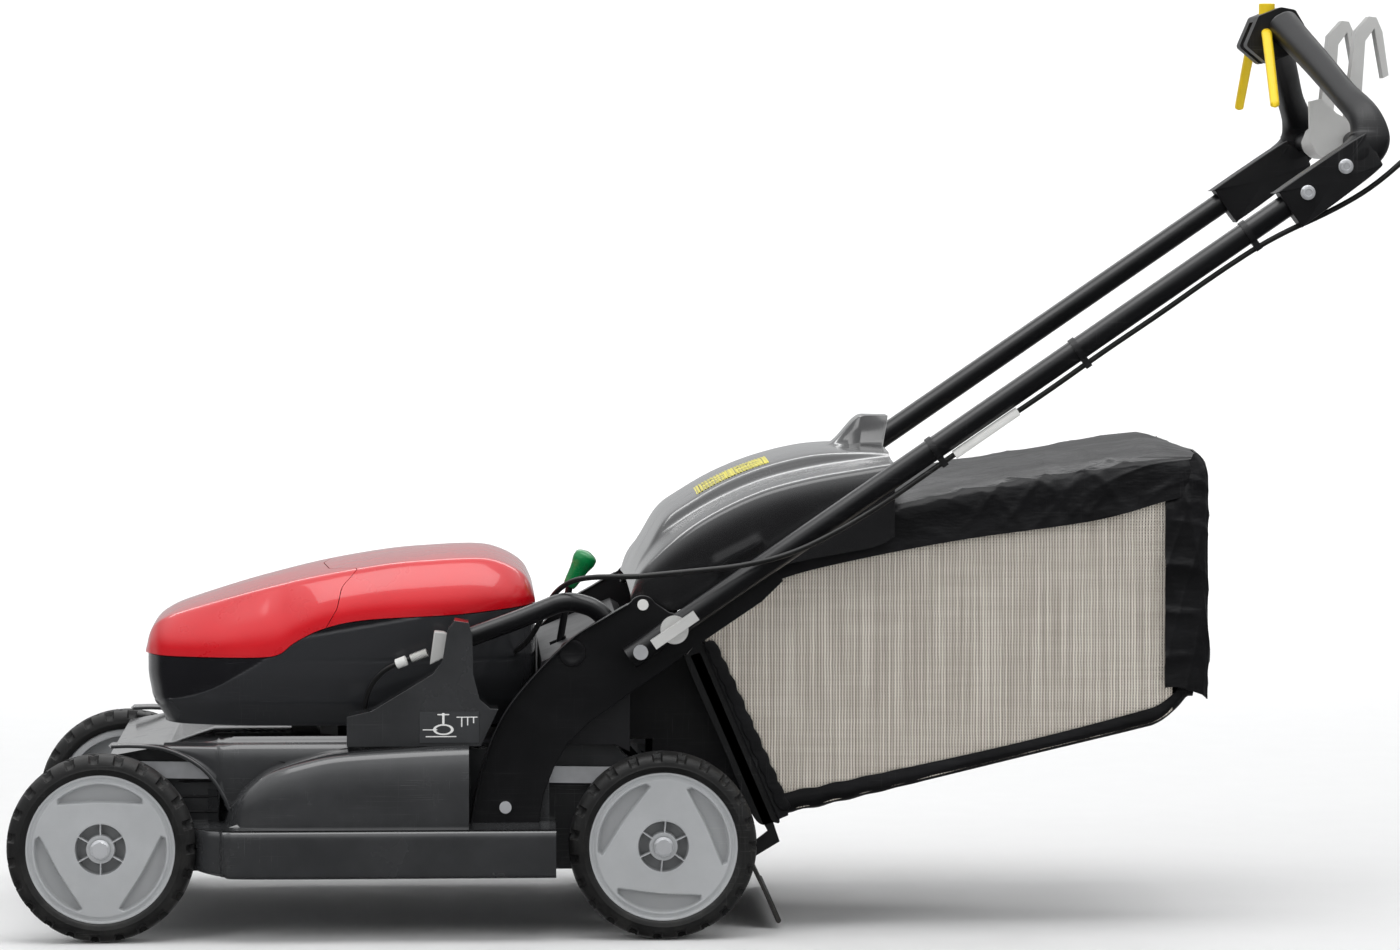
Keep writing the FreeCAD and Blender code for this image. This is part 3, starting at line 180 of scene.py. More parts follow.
def mirrored(x, right, top, count):
    """A row of points at x, through the (y, z) knots of the right half, a top and the left half."""
    knots = [(-y, z) for y, z in right] + [(0, top)] + [(y, z) for y, z in right[::-1]]
    line = through(knots, count)
    return np.stack([np.full(count, x), line[:, 0], line[:, 1]], -1)


def panel(name, grid, wall, inward, masks=None):
    """A curved panel: the grid's outer skin, the same skin moved by wall along inward, and its edge."""
    grid = np.asarray(grid, float)
    rows, columns, _ = grid.shape
    inner = grid + wall * inward
    front = np.arange(rows * columns).reshape(rows, columns)
    back = front + rows * columns
    skin = np.stack([front[:-1, :-1], front[1:, :-1], front[1:, 1:], front[:-1, 1:]], -1).reshape(-1, 4)
    rim = np.concatenate([front[0, :-1], front[:-1, -1], front[-1, :0:-1], front[:0:-1, 0]])
    rim_after = np.roll(rim, -1)
    edge = np.stack([rim, rim_after, rim_after + rows * columns, rim + rows * columns], -1)
    masks = {k: np.tile(np.ravel(v), 2) for k, v in (masks or {}).items()}
    points = np.vstack([grid.reshape(-1, 3), inner.reshape(-1, 3)])
    return built(name, points, [skin, back.ravel()[skin][:, ::-1], edge], masks)


def facing(grid):
    """Unit normals of a grid of points, by the cross product of its two directions."""
    across = np.gradient(grid, axis=1)
    along = np.gradient(grid, axis=0)
    normal = np.cross(along, across)
    return normal / np.maximum(np.linalg.norm(normal, axis=2, keepdims=True), 1e-9)


def outward_of(grid, pick, axis, sign):
    """Normals of the grid, turned so that the one at pick points along the sign of axis."""
    normal = facing(grid)
    return normal * (1 if normal[pick][axis] * sign > 0 else -1)


def swept(path, wide, high, around=20, power=2.0, side=(0, 1, 0)):
    """Rings of a superellipse, wide by high, carried square to a path; side is kept near one axis."""
    path = np.asarray(path, float)
    ahead = np.gradient(path, axis=0)
    ahead /= np.linalg.norm(ahead, axis=1, keepdims=True)
    across = np.asarray(side, float) - ahead * (ahead @ np.asarray(side, float))[:, None]
    across /= np.linalg.norm(across, axis=1, keepdims=True)
    up = np.cross(ahead, across)
    angle = np.linspace(0, 2 * np.pi, around, endpoint=False)
    shape = [np.sign(f(angle)) * np.abs(f(angle)) ** (2 / power) for f in (np.cos, np.sin)]
    wide, high = (np.broadcast_to(np.asarray(size, float), len(path))[:, None, None] for size in (wide,
                                                                                                  high))
    return (path[:, None] + across[:, None] * shape[0][None, :, None] * wide / 2
            + up[:, None] * shape[1][None, :, None] * high / 2)


def round_ends(rings, reach=0.35):
    """The first and last rings drawn in, so that a swept bar has rounded ends."""
    rings = np.array(rings)
    for end, inner in ((0, 1), (-1, -2)):
        middle = rings[end].mean(0)
        rings[end] = middle + (rings[end] - middle) * reach
    return rings


def softened(node, finish, bevel, reshape=None):
    """A copy of a CAD node with its loose triangles merged and its sharp edges rounded.
    reshape, if given, moves the copy's points, an array in the datum frame."""
    source = frame["nodes"][node]
    mesh = source.data.copy()
    work = bmesh.new()
    work.from_mesh(mesh)
    bmesh.ops.remove_doubles(work, verts=work.verts, dist=SAME_POINT)
    bmesh.ops.dissolve_limit(work, angle_limit=SAME_PLANE, verts=work.verts, edges=work.edges)
    work.to_mesh(mesh)
    work.free()
    if reshape:
        spots = np.empty(3 * len(mesh.vertices))
        mesh.vertices.foreach_get("co", spots)
        datum = (spots.reshape(-1, 3) - world([(0, 0, 0)])[0]) / MILLIMETRE
        mesh.vertices.foreach_set("co", np.asarray(world(reshape(datum)), float).ravel())
    if mesh.has_custom_normals:
        mesh.attributes.remove(mesh.attributes["custom_normal"])
    item = bpy.data.objects.new(node + "_moulding", mesh)
    bpy.context.scene.collection.objects.link(item)
    rounding = item.modifiers.new("edge_rounding", "BEVEL")
    rounding.width = bevel * MILLIMETRE
    rounding.segments = 2
    rounding.limit_method = "ANGLE"
    rounding.angle_limit = ROUNDED_FROM
    rounding.use_clamp_overlap = True
    rounding.harden_normals = False
    return finished(item, source["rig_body"], finish, [node], 40)

# ---------------------------------------------------------------- finishes


def group_of(name, inputs, outputs):
    """An empty shader node group with float inputs (name, default) and named float outputs."""
    group = bpy.data.node_groups.new(name, "ShaderNodeTree")
    for label, value in inputs:
        socket = group.interface.new_socket(label, in_out="INPUT", socket_type="NodeSocketFloat")
        socket.default_value = value
    for label in outputs:
        group.interface.new_socket(label, in_out="OUTPUT", socket_type="NodeSocketFloat")
    return group, Nodes(group), group.nodes.new("NodeGroupInput"), group.nodes.new("NodeGroupOutput")


class Nodes:
    """Short calls that add and join the nodes of one tree."""

    def __init__(self, tree):
        self.tree = tree

    def feed(self, socket, value):
        if isinstance(value, bpy.types.NodeSocket):
            self.tree.links.new(value, socket)
        else:
            socket.default_value = value

    def add(self, kind, settings=None, **inputs):
        node = self.tree.nodes.new("ShaderNode" + kind)
        for key, value in (settings or {}).items():
            setattr(node, key, value)
        for key, value in inputs.items():
            self.feed(node.inputs[key.replace("_", " ")], value)
        return node

    def here(self):
        return self.add("TexCoord").outputs["Object"]

    def stretched(self, scale, turn=(0, 0, 0)):
        return self.add("Mapping", Vector=self.here(), Scale=scale, Rotation=turn).outputs[0]

    def noise(self, place, scale, detail=3.0, rough=0.5):
        return self.add("TexNoise", Vector=place, Scale=scale, Detail=detail, Roughness=rough).outputs["Fac"]

    def sum(self, kind, a, b=0.0, c=0.0):
        node = self.add("Math", {"operation": kind})
        for socket, value in zip(node.inputs, (a, b, c)):
            self.feed(socket, value)
        return node.outputs[0]

    def span(self, value, low, high, to_low=0.0, to_high=1.0):
        node = self.add("MapRange", {"interpolation_type": "SMOOTHSTEP"})
        for socket, item in zip(node.inputs, (value, low, high, to_low, to_high)):
            self.feed(socket, item)
        return node.outputs[0]

    def mix(self, share, first, second):
        node = self.add("Mix", {"data_type": "RGBA"})
        for index, value in ((0, share), (6, first), (7, second)):
            self.feed(node.inputs[index], value)
        return node.outputs[2]

    def bump(self, height, distance, strength=1.0, normal=None):
        node = self.add("Bump", Height=height, Distance=distance, Strength=strength)
        if normal is not None:
            self.feed(node.inputs["Normal"], normal)
        return node.outputs[0]

    def group(self, tree, **inputs):
        node = self.tree.nodes.new("ShaderNodeGroup")
        node.node_tree = tree
        for key, value in inputs.items():
            self.feed(node.inputs[key], value)
        return node


# Moulding grain: fine pits and a slow mottle of the colour.
GRAIN, n, given, out = group_of("moulding_grain", [("Scale", 900.0)], ["Height", "Mottle"])
n.feed(out.inputs["Height"], n.noise(n.here(), given.outputs["Scale"], 2.0, 0.6))
n.feed(out.inputs["Mottle"], n.noise(n.here(), 14.0, 4.0, 0.62))

# Handling scuffs: thin crossing hairlines, more in some places than others.
SCUFFS, n, given, out = group_of("handling_scuffs", [("Amount", 0.3)], ["Mask"])
lines = n.span(n.noise(n.stretched((3.0, 40.0, 300.0), (0.3, 0.9, 0.4)), 4.0, 2.0), 0.62, 0.70)
cross = n.span(n.noise(n.stretched((260.0, 30.0, 4.0), (0.5, 0.2, 1.1)), 4.0, 2.0), 0.64, 0.72)
places = n.span(n.noise(n.here(), 9.0, 2.0), 0.45, 0.70)
n.feed(out.inputs["Mask"], n.sum("MULTIPLY", n.sum("MULTIPLY", n.sum("MAXIMUM", lines, cross), places),
                                 given.outputs["Amount"]))

# Dust: settles on faces that look up, and grass dust splashed low down.
DUST, n, given, out = group_of("settled_dust", [("Amount", 0.3)], ["Mask"])
level = n.add("SeparateXYZ", Vector=n.add("NewGeometry").outputs["Normal"]).outputs[2]
high = n.add("SeparateXYZ", Vector=n.here()).outputs[2]
low_down = n.span(high, 0.16, 0.02)
upward = n.span(level, 0.35, 1.0, 0.0, 0.55)
patches = n.span(n.noise(n.here(), 30.0, 6.0, 0.7), 0.40, 0.75)
n.feed(out.inputs["Mask"], n.sum("MULTIPLY", n.sum("MULTIPLY", n.sum("MAXIMUM", low_down, upward), patches),
                                 given.outputs["Amount"]))

# Plain weave: warp and weft as two rows of rounded threads.
WEAVE, n, given, out = group_of("mesh_weave", [("Along", 0.0), ("Across", 0.0), ("Pitch", 0.003)],
                                ["Height", "Gap", "Thread"])


def thread_rows(n, value, pitch, shift=0.0):
    """Cosine ridges along one direction, 1 on a thread's crest and 0 between threads."""
    turns = n.sum("ADD", n.sum("MULTIPLY", n.sum("DIVIDE", value, pitch), 2 * math.pi), shift)
    return n.sum("MULTIPLY_ADD", n.sum("COSINE", turns), 0.5, 0.5)


sway = n.sum("MULTIPLY", n.sum("SUBTRACT", n.noise(n.here(), 60.0, 2.0), 0.5), 0.0016)
warp = thread_rows(n, n.sum("ADD", given.outputs["Along"], sway), given.outputs["Pitch"])
weft = thread_rows(n, n.sum("ADD", given.outputs["Across"], sway), given.outputs["Pitch"])
n.feed(out.inputs["Height"], n.sum("MAXIMUM", warp, weft))
n.feed(out.inputs["Gap"], n.span(n.sum("MAXIMUM", warp, weft), 0.42, 0.20))
n.feed(out.inputs["Thread"], n.sum("SUBTRACT", warp, weft))


def base_finish(name, **sockets):
    """A new material, its node helper and its Principled shader with constant sockets set."""
    material = bpy.data.materials.new(name)
    material.use_nodes = True
    shader = material.node_tree.nodes["Principled BSDF"]
    for label, value in sockets.items():
        shader.inputs[label.replace("_", " ")].default_value = value
    return material, Nodes(material.node_tree), shader


def shade(colour, factor):
    """The colour made lighter or darker, with its alpha."""
    return tuple(min(1.0, c * factor) for c in colour) + (1.0,)


def moulded(name, colour, rough, grain=900.0, depth=0.00008, mottle=0.12, scuffs=0.25, dust=0.10,
            dust_colour=(0.36, 0.34, 0.29), well=None, metal=0.0, **sockets):
    """Plastic, paint, rubber or cast metal: mottled colour, hairline scuffs, dust and surface grain."""
    material, n, shader = base_finish(name, Metallic=metal, **sockets)
    fine = n.group(GRAIN, Scale=grain)
    marks = n.group(SCUFFS, Amount=scuffs).outputs["Mask"]
    settled = n.group(DUST, Amount=dust).outputs["Mask"]
    body = n.mix(n.span(fine.outputs["Mottle"], 0.3, 0.7), shade(colour, 1 - mottle),
                 shade(colour, 1 + mottle))
    # well: an attribute and a colour mixed in where the attribute is 1; on the rims this is painted shade in
    # the recesses and the central well, on the shroud the tone of the raised panel
    if well:
        depth_mask = n.add("Attribute", {"attribute_name": well[0]}).outputs["Fac"]
        body = n.mix(depth_mask, body, well[1] + (1.0,))
    scratched = n.mix(marks, body, shade([c + 0.12 for c in colour], 1.0))
    n.feed(shader.inputs["Base Color"], n.mix(settled, scratched, dust_colour + (1.0,)))
    uneven = n.span(fine.outputs["Mottle"], 0.25, 0.75, rough * 0.85, min(1.0, rough * 1.2))
    worn = n.sum("ADD", uneven, n.sum("MULTIPLY", marks, 0.35))
    n.feed(shader.inputs["Roughness"], n.sum("ADD", worn, n.sum("MULTIPLY", settled, 0.4)))
    height = n.sum("SUBTRACT", fine.outputs["Height"], n.sum("MULTIPLY", marks, 0.6))
    n.feed(shader.inputs["Normal"], n.bump(height, depth))
    return material


def brushed(name, colour, rough, lay=(4.0, 300.0, 300.0), tarnish=0.25, dust=0.08):
    """Metal with drawing lines along one direction, a blotchy tarnish and darker handling marks."""
    material, n, shader = base_finish(name, Metallic=1.0)
    lines = n.noise(n.stretched(lay), 5.0, 3.0, 0.7)
    blotch = n.noise(n.here(), 22.0, 5.0, 0.65)
    marks = n.group(SCUFFS, Amount=0.4).outputs["Mask"]
    settled = n.group(DUST, Amount=dust).outputs["Mask"]
    body = n.mix(n.span(blotch, 0.35, 0.7, 0.0, tarnish), colour + (1.0,), shade(colour, 0.5))
    n.feed(shader.inputs["Base Color"], n.mix(settled, n.mix(marks, body, shade(colour, 0.7)),
                                               (0.3, 0.28, 0.25, 1.0)))
    n.feed(shader.inputs["Roughness"], n.span(n.sum("ADD", lines, n.sum("MULTIPLY", blotch, 0.5)), 0.4, 1.1,
                                               rough * 0.75, rough * 1.4))
    n.feed(shader.inputs["Normal"], n.bump(lines, 0.00003))
    return material


DECK = moulded("deck_polymer", (0.034, 0.035, 0.037), 0.24, 700.0, 0.00004, scuffs=0.12, dust=0.03,
               dust_colour=(0.16, 0.15, 0.13), Coat_Weight=1.0, Coat_Roughness=0.10)
BLACK = moulded("black_plastic", (0.008, 0.008, 0.009), 0.45, 1100.0, 0.00010, dust=0.03,
                dust_colour=(0.12, 0.11, 0.10))
COWL = moulded("cowl_plastic", (0.016, 0.016, 0.018), 0.38, 900.0, 0.00006, dust=0.06)
RED = moulded("red_gloss", (0.66, 0.004, 0.012), 0.28, 500.0, 0.00002, mottle=0.04, scuffs=0.05, dust=0.0,
              Coat_Weight=0.8, Coat_Roughness=0.04)
SHROUD = moulded("shroud_black", (0.010, 0.010, 0.012), 0.20, 600.0, 0.00003, mottle=0.08, scuffs=0.12,
                 dust=0.02, well=("swoosh", (0.030, 0.031, 0.034)), Coat_Weight=0.4, Coat_Roughness=0.08)
FLAP = moulded("flap_polymer", (0.014, 0.014, 0.015), 0.24, 800.0, 0.00004, scuffs=0.12, dust=0.02,
               dust_colour=(0.16, 0.15, 0.13), Coat_Weight=1.0, Coat_Roughness=0.14)
PAINT = moulded("black_paint", (0.005, 0.005, 0.006), 0.34, 420.0, 0.00005, mottle=0.1, scuffs=0.15,
                dust=0.01, Coat_Weight=0.3, Coat_Roughness=0.2)
GRIP = moulded("grip_polymer", (0.007, 0.007, 0.008), 0.42, 1500.0, 0.00010, dust=0.01,
               dust_colour=(0.12, 0.11, 0.10))
RUBBER = moulded("tyre_rubber", (0.010, 0.010, 0.010), 0.55, 600.0, 0.00014, mottle=0.25, scuffs=0.4,
                 dust=0.22, dust_colour=(0.10, 0.095, 0.085))
# The rim's darker well colour is painted shade for its recesses and its central well.
RIM = moulded("rim_grey", (0.40, 0.41, 0.42), 0.36, 1000.0, 0.00005, mottle=0.05, scuffs=0.15, dust=0.08,
              well=("well", (0.20, 0.205, 0.21)))
LIGHT = moulded("light_grey", (0.50, 0.50, 0.49), 0.42, 1000.0, 0.00006, mottle=0.05, dust=0.05)
WHITE = moulded("white_plastic", (0.72, 0.72, 0.70), 0.40, 1000.0, 0.00006, mottle=0.05, dust=0.05)
YELLOW = moulded("yellow_plastic", (0.88, 0.62, 0.01), 0.38, 1000.0, 0.00006, mottle=0.05, dust=0.04)
GREEN = moulded("green_plastic", (0.0, 0.22, 0.055), 0.24, 700.0, 0.00003, mottle=0.07, dust=0.03,
                Coat_Weight=0.4, Coat_Roughness=0.08)
CABLE = moulded("cable_black", (0.010, 0.010, 0.010), 0.35, 1600.0, 0.00005, dust=0.03)
BELT = moulded("belt_rubber", (0.016, 0.015, 0.015), 0.7, 2200.0, 0.00015, mottle=0.3)
ZINC = moulded("zinc", (0.60, 0.61, 0.63), 0.34, 900.0, 0.00004, mottle=0.15, scuffs=0.4, dust=0.05,
               metal=0.45)
STEEL = brushed("blade_steel", (0.30, 0.31, 0.33), 0.38, (300.0, 4.0, 300.0), 0.5)
CAST = moulded("cast_metal", (0.55, 0.55, 0.56), 0.42, 260.0, 0.00030, mottle=0.2, metal=1.0)
IRON = moulded("iron", (0.12, 0.115, 0.11), 0.62, 320.0, 0.00035, mottle=0.4, metal=1.0)


def woven(name, along, across, pitch):
    """Coarse mesh cloth: beige threads with near-black painted shade in the gaps between them, the weft
    threads a painted-shade copy of the yarn, paler and darker threads by turns.
    """
    material, n, shader = base_finish(name, Sheen_Weight=0.25, Sheen_Roughness=0.6)
    axes = n.add("SeparateXYZ", Vector=n.stretched((1, 1, 1)))
    weave = n.group(WEAVE, Along=axes.outputs[along], Across=axes.outputs[across], Pitch=pitch)
    rows = n.noise(n.stretched(tuple(330.0 if k == along else 5.0 for k in range(3))), 1.0, 1.0)
    courses = n.noise(n.stretched(tuple(330.0 if k == across else 9.0 for k in range(3))), 1.0, 1.0)
    uneven = n.sum("MULTIPLY_ADD", courses, 0.22, n.sum("MULTIPLY", rows, 0.78))
    yarn = n.mix(n.span(uneven, 0.30, 0.70), (0.47, 0.42, 0.36, 1), (0.78, 0.73, 0.65, 1))
    # Painted shade: where the weft lies on top the thread is a darker copy of the yarn; where the warp lies
    # on top it keeps the lit yarn colour.
    lit = n.mix(n.span(weave.outputs["Thread"], -0.6, 0.6), n.mix(0.45, yarn, (0.2, 0.17, 0.14, 1)), yarn)
    # Painted shade: the gaps between the threads are near-black, where the open mesh shows the shaded inside
    # of the bag.
    n.feed(shader.inputs["Base Color"], n.mix(n.sum("MULTIPLY", weave.outputs["Gap"], 0.92), lit,
                                               (0.030, 0.027, 0.024, 1)))
    n.feed(shader.inputs["Roughness"], n.span(weave.outputs["Height"], 0.0, 1.0, 0.95, 0.7))
    n.feed(shader.inputs["Normal"], n.bump(weave.outputs["Height"], 0.0006))
    return material


MESH_SIDE = woven("mesh_side", 0, 2, 0.0032)


def coated_cloth(name, colour, rough):
    """Vinyl-coated cloth: fine plain weave under the coating, long soft creases and scuffed high spots."""
    material, n, shader = base_finish(name, Specular_IOR_Level=0.32)
    fine = n.group(GRAIN, Scale=420.0)
    creases = n.noise(n.stretched((9.0, 26.0, 26.0), (0.0, 0.35, 0.5)), 1.0, 4.0, 0.6)
    marks = n.group(SCUFFS, Amount=0.35).outputs["Mask"]
    body = n.mix(n.span(fine.outputs["Mottle"], 0.3, 0.7), shade(colour, 0.7), shade(colour, 1.4))
    n.feed(shader.inputs["Base Color"], n.mix(marks, body, shade([c + 0.05 for c in colour], 1.0)))
    n.feed(shader.inputs["Roughness"], n.span(creases, 0.3, 0.7, rough * 0.8, rough * 1.25))
    micro = n.bump(fine.outputs["Height"], 0.00010)
    n.feed(shader.inputs["Normal"], n.bump(creases, 0.004, 0.8, micro))
    return material


VINYL = coated_cloth("bag_vinyl", (0.007, 0.007, 0.008), 0.40)
BINDING = coated_cloth("bag_binding", (0.006, 0.006, 0.007), 0.6)
FLOOR = moulded("studio_floor", (0.86, 0.86, 0.86), 0.75, 60.0, 0.0001, mottle=0.01, scuffs=0.0, dust=0.0)

CAD_FINISH = {
    "deck_polymer": DECK, "black_plastic": BLACK, "cowl_plastic": COWL, "red_gloss": RED,
    "shroud_black": FLAP,
    "black_paint": PAINT, "zinc": ZINC, "blade_steel": STEEL, "cast_metal": CAST, "iron": IRON,
    "tyre_rubber": RUBBER, "belt_rubber": BELT, "rim_grey": RIM, "light_grey": LIGHT, "white_plastic": WHITE,
    "yellow_plastic": YELLOW, "green_plastic": GREEN, "cable_black": CABLE, "mesh_fabric": MESH_SIDE,
    "vinyl_top": VINYL}
SLOT_OF = {finish.name: slot for slot, finish in (*CAD_FINISH.items(), ("shroud_black", SHROUD),
                                                  ("black_plastic", GRIP), ("vinyl_top", BINDING))}
for entry in frame["record"]["subparts"]:
    node = frame["nodes"].get(entry["node"])
    if node:
        node.data.materials.clear()
        node.data.materials.append(CAD_FINISH[entry["material_slot"]])

# ---------------------------------------------------------------- wheels

LUGS = 23


def tyre(name):
    """A round section turned about the axle; its radius drops in notches across each shoulder and in
    a zigzag groove round the middle: radius = section - notch depth x shoulder mask(angle) - groove."""
    axle, side = WHEELS[name]
    section = through([(80.4, -17), (80.4, -21.5), (83.5, -23.6), (88, -24), (93, -23.0), (97, -20.6),
                       (99.6, -16.5), (100.8, -11), (101.4, -5), (101.6, 0), (101.4, 5), (100.8, 11),
                       (99.6, 16.5), (97, 20.6), (93, 23.0), (88, 24), (83.5, 23.6), (80.4, 21.5),
                       (80.4, 17), (80.4, 0)], 72, closed=True)
    radius, out = section[:, 0][None], section[:, 1][None]
    angle = np.linspace(0, 2 * np.pi, LUGS * 14, endpoint=False)[:, None]
    pitch = (angle * LUGS / (2 * np.pi)) % 1.0
    other = (pitch + 0.5) % 1.0

    def notch(phase):
        """1 inside a gap between two blocks, with sloped ends."""
        return ease(0.30, 0.38, phase) * (1 - ease(0.62, 0.70, phase))

    shoulder = ease(9, 14, np.abs(out)) * ease(91.5, 96, radius)
    gaps = np.where(out < 0, notch(pitch), notch(other)) * shoulder
    zigzag = 4.5 * (2 * np.abs(2 * pitch - 1) - 1)
    groove = (1 - ease(0.8, 2.2, np.abs(out - zigzag))) * ease(96, 99, radius)
    cross = (1 - ease(0.03, 0.07, np.abs(pitch - 0.02))) * ease(3, 5, np.abs(out)) * (
        1 - ease(9, 11, np.abs(out))) * ease(96, 99, radius)
    deep = radius - 5.2 * gaps - 2.6 * np.maximum(groove, cross)
    sunk = out - np.sign(out) * 1.6 * gaps
    bead = 0.5 * np.exp(-((radius - 86.5) / 0.9) ** 2) * np.sign(out)
    rings = np.stack([axle + deep * np.cos(angle), side * WHEEL_Y + (sunk + bead) * side + 0 * angle,
                      deep * np.sin(angle)], -1)
    item = tube_of_rings("tread_" + name, rings, loop=True)
    finished(item, name + "_wheel", RUBBER, ["tyre_" + name], 30)


def rim(name, turn):
    """A disc turned about the axle: depth below the outer face = dish + three crescent recesses
    (inside radius 72 and past a straight inner edge) + a round well crossed by six thin spokes."""
    axle, side = WHEELS[name]
    count = 360
    angle = np.linspace(0, 2 * np.pi, count, endpoint=False)[:, None]
    radius = np.concatenate([[6.4], np.linspace(8, 15, 6), np.linspace(16.4, 27.4, 16),
                             np.linspace(28.4, 46, 12),
                             np.linspace(47, 73.6, 34), np.linspace(74.4, 80, 9)])[None]
    face = 21.0 - 2.2 * ease(72.5, 75, radius) * (1 - ease(76.5, 78.4, radius)) - 1.6 * ease(78, 40, radius)
    recess = np.zeros((count, radius.shape[1]))
    for k in range(3):
        lean = angle - (turn + 2 * np.pi * k / 3)
        inside = np.minimum(71.5 - radius, radius * np.cos(lean) - 49.0 - 1.2 * np.cos(3 * lean))
        ends = 46.0 - np.abs(radius * np.sin(lean))
        recess = np.maximum(recess, ease(0.0, 2.4, np.minimum(inside, ends)) * (np.cos(lean) > 0))
    well = ease(15.2, 16.4, radius) * (1 - ease(25.6, 27.6, radius)) + 0 * angle
    spokes = np.zeros_like(well)
    for k in range(6):
        lean = angle - (turn + np.pi * k / 3)
        spokes = np.maximum(spokes, (1 - ease(0.7, 1.3, np.abs(radius * np.sin(lean)))) * (np.cos(lean) > 0))
    depth = face - 6.0 * recess - 11.0 * well * (1 - 0.93 * spokes) - 1.5 * (1 - ease(8, 10.5, radius))
    # Painted shade: the recesses and the well between the spokes are marked for the darker well colour.
    shaded = np.maximum(0.55 * recess, well * (1 - spokes))
    edge_radius = np.array([80.0, 80.0, 79.0, 72.0, 70.0, 30.0, 16.0, 15.4, 15.4, 6.4])[None] + 0 * angle
    edge_out = np.array([19.5, -19.0, -20.0, -20.0, 4.0, -2.0, -2.0, -16.0, -22.0, -22.0])[None] + 0 * angle
    all_radius = np.concatenate([radius + 0 * angle, edge_radius], 1)
    all_out = np.concatenate([depth, edge_out], 1)
    rings = np.stack([axle + all_radius * np.cos(angle), side * (WHEEL_Y + all_out),
                      all_radius * np.sin(angle)], -1)
    mask = np.concatenate([shaded, 0 * edge_radius], 1)
    item = tube_of_rings("disc_" + name, rings, loop=True, masks={"well": mask})
    finished(item, name + "_wheel", RIM, ["rim_" + name], 50)


for wheel, turn in (("front_left", 90), ("rear_left", 145), ("front_right", 100), ("rear_right", 60)):
    tyre(wheel)
    rim(wheel, math.radians(turn))


BOLT_HEIGHTS = (0.0, 1.6, 2.4, 2.6, 5.6, 6.6, 6.9, 5.6)


def bolt_head(name, body, centre, side, radii):
    """A flanged hexagon head turned about a cross axle: the outer rings are drawn in to six flats."""
    angle = np.linspace(0, 2 * np.pi, 48, endpoint=False)
    flat = 1 / np.maximum(np.cos((angle + np.pi / 6) % (np.pi / 3) - np.pi / 6), 0.85)
    rings = []
    for k, (radius, height) in enumerate(zip(radii, BOLT_HEIGHTS)):
        reach = radius * (np.minimum(flat, 1.12) if 3 <= k <= 5 else 1.0)
        rings.append(np.stack([centre[0] + reach * np.cos(angle), centre[1] + side * (height + 0 * angle),
                               centre[2] + reach * np.sin(angle)], -1))
    lofted(name, rings, body, ZINC, (), 30)


# ---------------------------------------------------------------- engine covers and shroud

COVER_HALF = table_of([(-263, 70), (-256, 92), (-237, 120), (-195, 142), (-150, 153), (-60, 164), (30, 165),
                       (90, 163), (130, 151), (155, 132), (167, 104)])
COVER_TOP = table_of([(-263, 201), (-257, 222), (-244, 236), (-211, 250), (-113, 279), (-7, 299), (54, 305),
                      (105, 306.5), (132, 300), (154, 286), (164, 268), (167, 256)])
COVER_SEAM = table_of([(-263, 195.5), (-190, 195.6), (-135, 196.2), (-113, 200), (-96, 213), (-65, 228),
                       (-20, 237.5), (72, 242.7), (120, 247), (167, 252)])
SPLIT_GAP, COVER_WALL = 0.9, 2.6


def cover_grid(front):
    """Half-width, crease and crown at each station: wall from the seam up to the crease (leaning in),
    then a top panel crowned by a parabola. The stations of the two covers meet along a stepped split."""
    share = np.linspace(-1, 1, 97)
    climb = 1 - np.abs(share)
    notch = np.interp(climb, [0, 0.13, 0.30, 0.40, 0.44, 0.62, 1.0], [-62, -50, -45, -30, -28, -60, -68])
    along = np.linspace(0, 1, 74)[:, None]
    if front:
        spread = 1 - np.cos(along * np.pi / 2)
        x = -263 + (notch[None] - SPLIT_GAP / 2 + 263) * spread
    else:
        spread = np.sin(along * np.pi / 2)
        x = notch[None] + SPLIT_GAP / 2 + (167 - notch[None] - SPLIT_GAP / 2) * spread
    half, top, seam = COVER_HALF(x), COVER_TOP(x), COVER_SEAM(x)
    rise = np.maximum(top - seam, 0)
    crease_half = half - 12 - 22 * ease(0, 70, rise)
    crease_half = np.maximum(crease_half, 0.45 * half)
    crease = seam + rise * 0.93
    wall = 0.42
    up = np.clip(climb / wall, 0, 1)
    inward = np.clip((climb - wall) / (1 - wall), 0, 1)
    y = half - (half - crease_half) * up ** 1.9 - crease_half * inward
    bulge = 3.0 * np.sin(np.pi * up)
    z = seam + (crease - seam) * up + (top - crease) * (1 - (1 - inward) ** 2)
    return np.stack([x, np.sign(share)[None] * (y + bulge), z], -1)


for piece, front, node in (("bonnet_front", True, "engine_cover_front"),
                           ("bonnet_rear", False, "engine_cover_rear")):
    grid = relaxed(cover_grid(front), 1, axis=1)
    outward = outward_of(grid, (grid.shape[0] // 2, grid.shape[1] // 2), 2, 1)
    finished(panel(piece, grid, COVER_WALL, -outward), "chassis", RED, [node], 42)

SHROUD_FOOT = 120
SHROUD_PLAN = through([(-262, 0), (-262, -62), (-254, -96), (-236, -121), (-195, -142), (-150, -153),
                       (-60, -164),
                       (30, -165), (90, -163), (130, -151), (155, -132), (166, -104), (167, 0), (166, 104),
                       (155, 132), (130, 151), (90, 163), (30, 165), (-60, 164), (-150, 153), (-195, 142),
                       (-236, 121), (-254, 96), (-262, 62)], 420, closed=True)


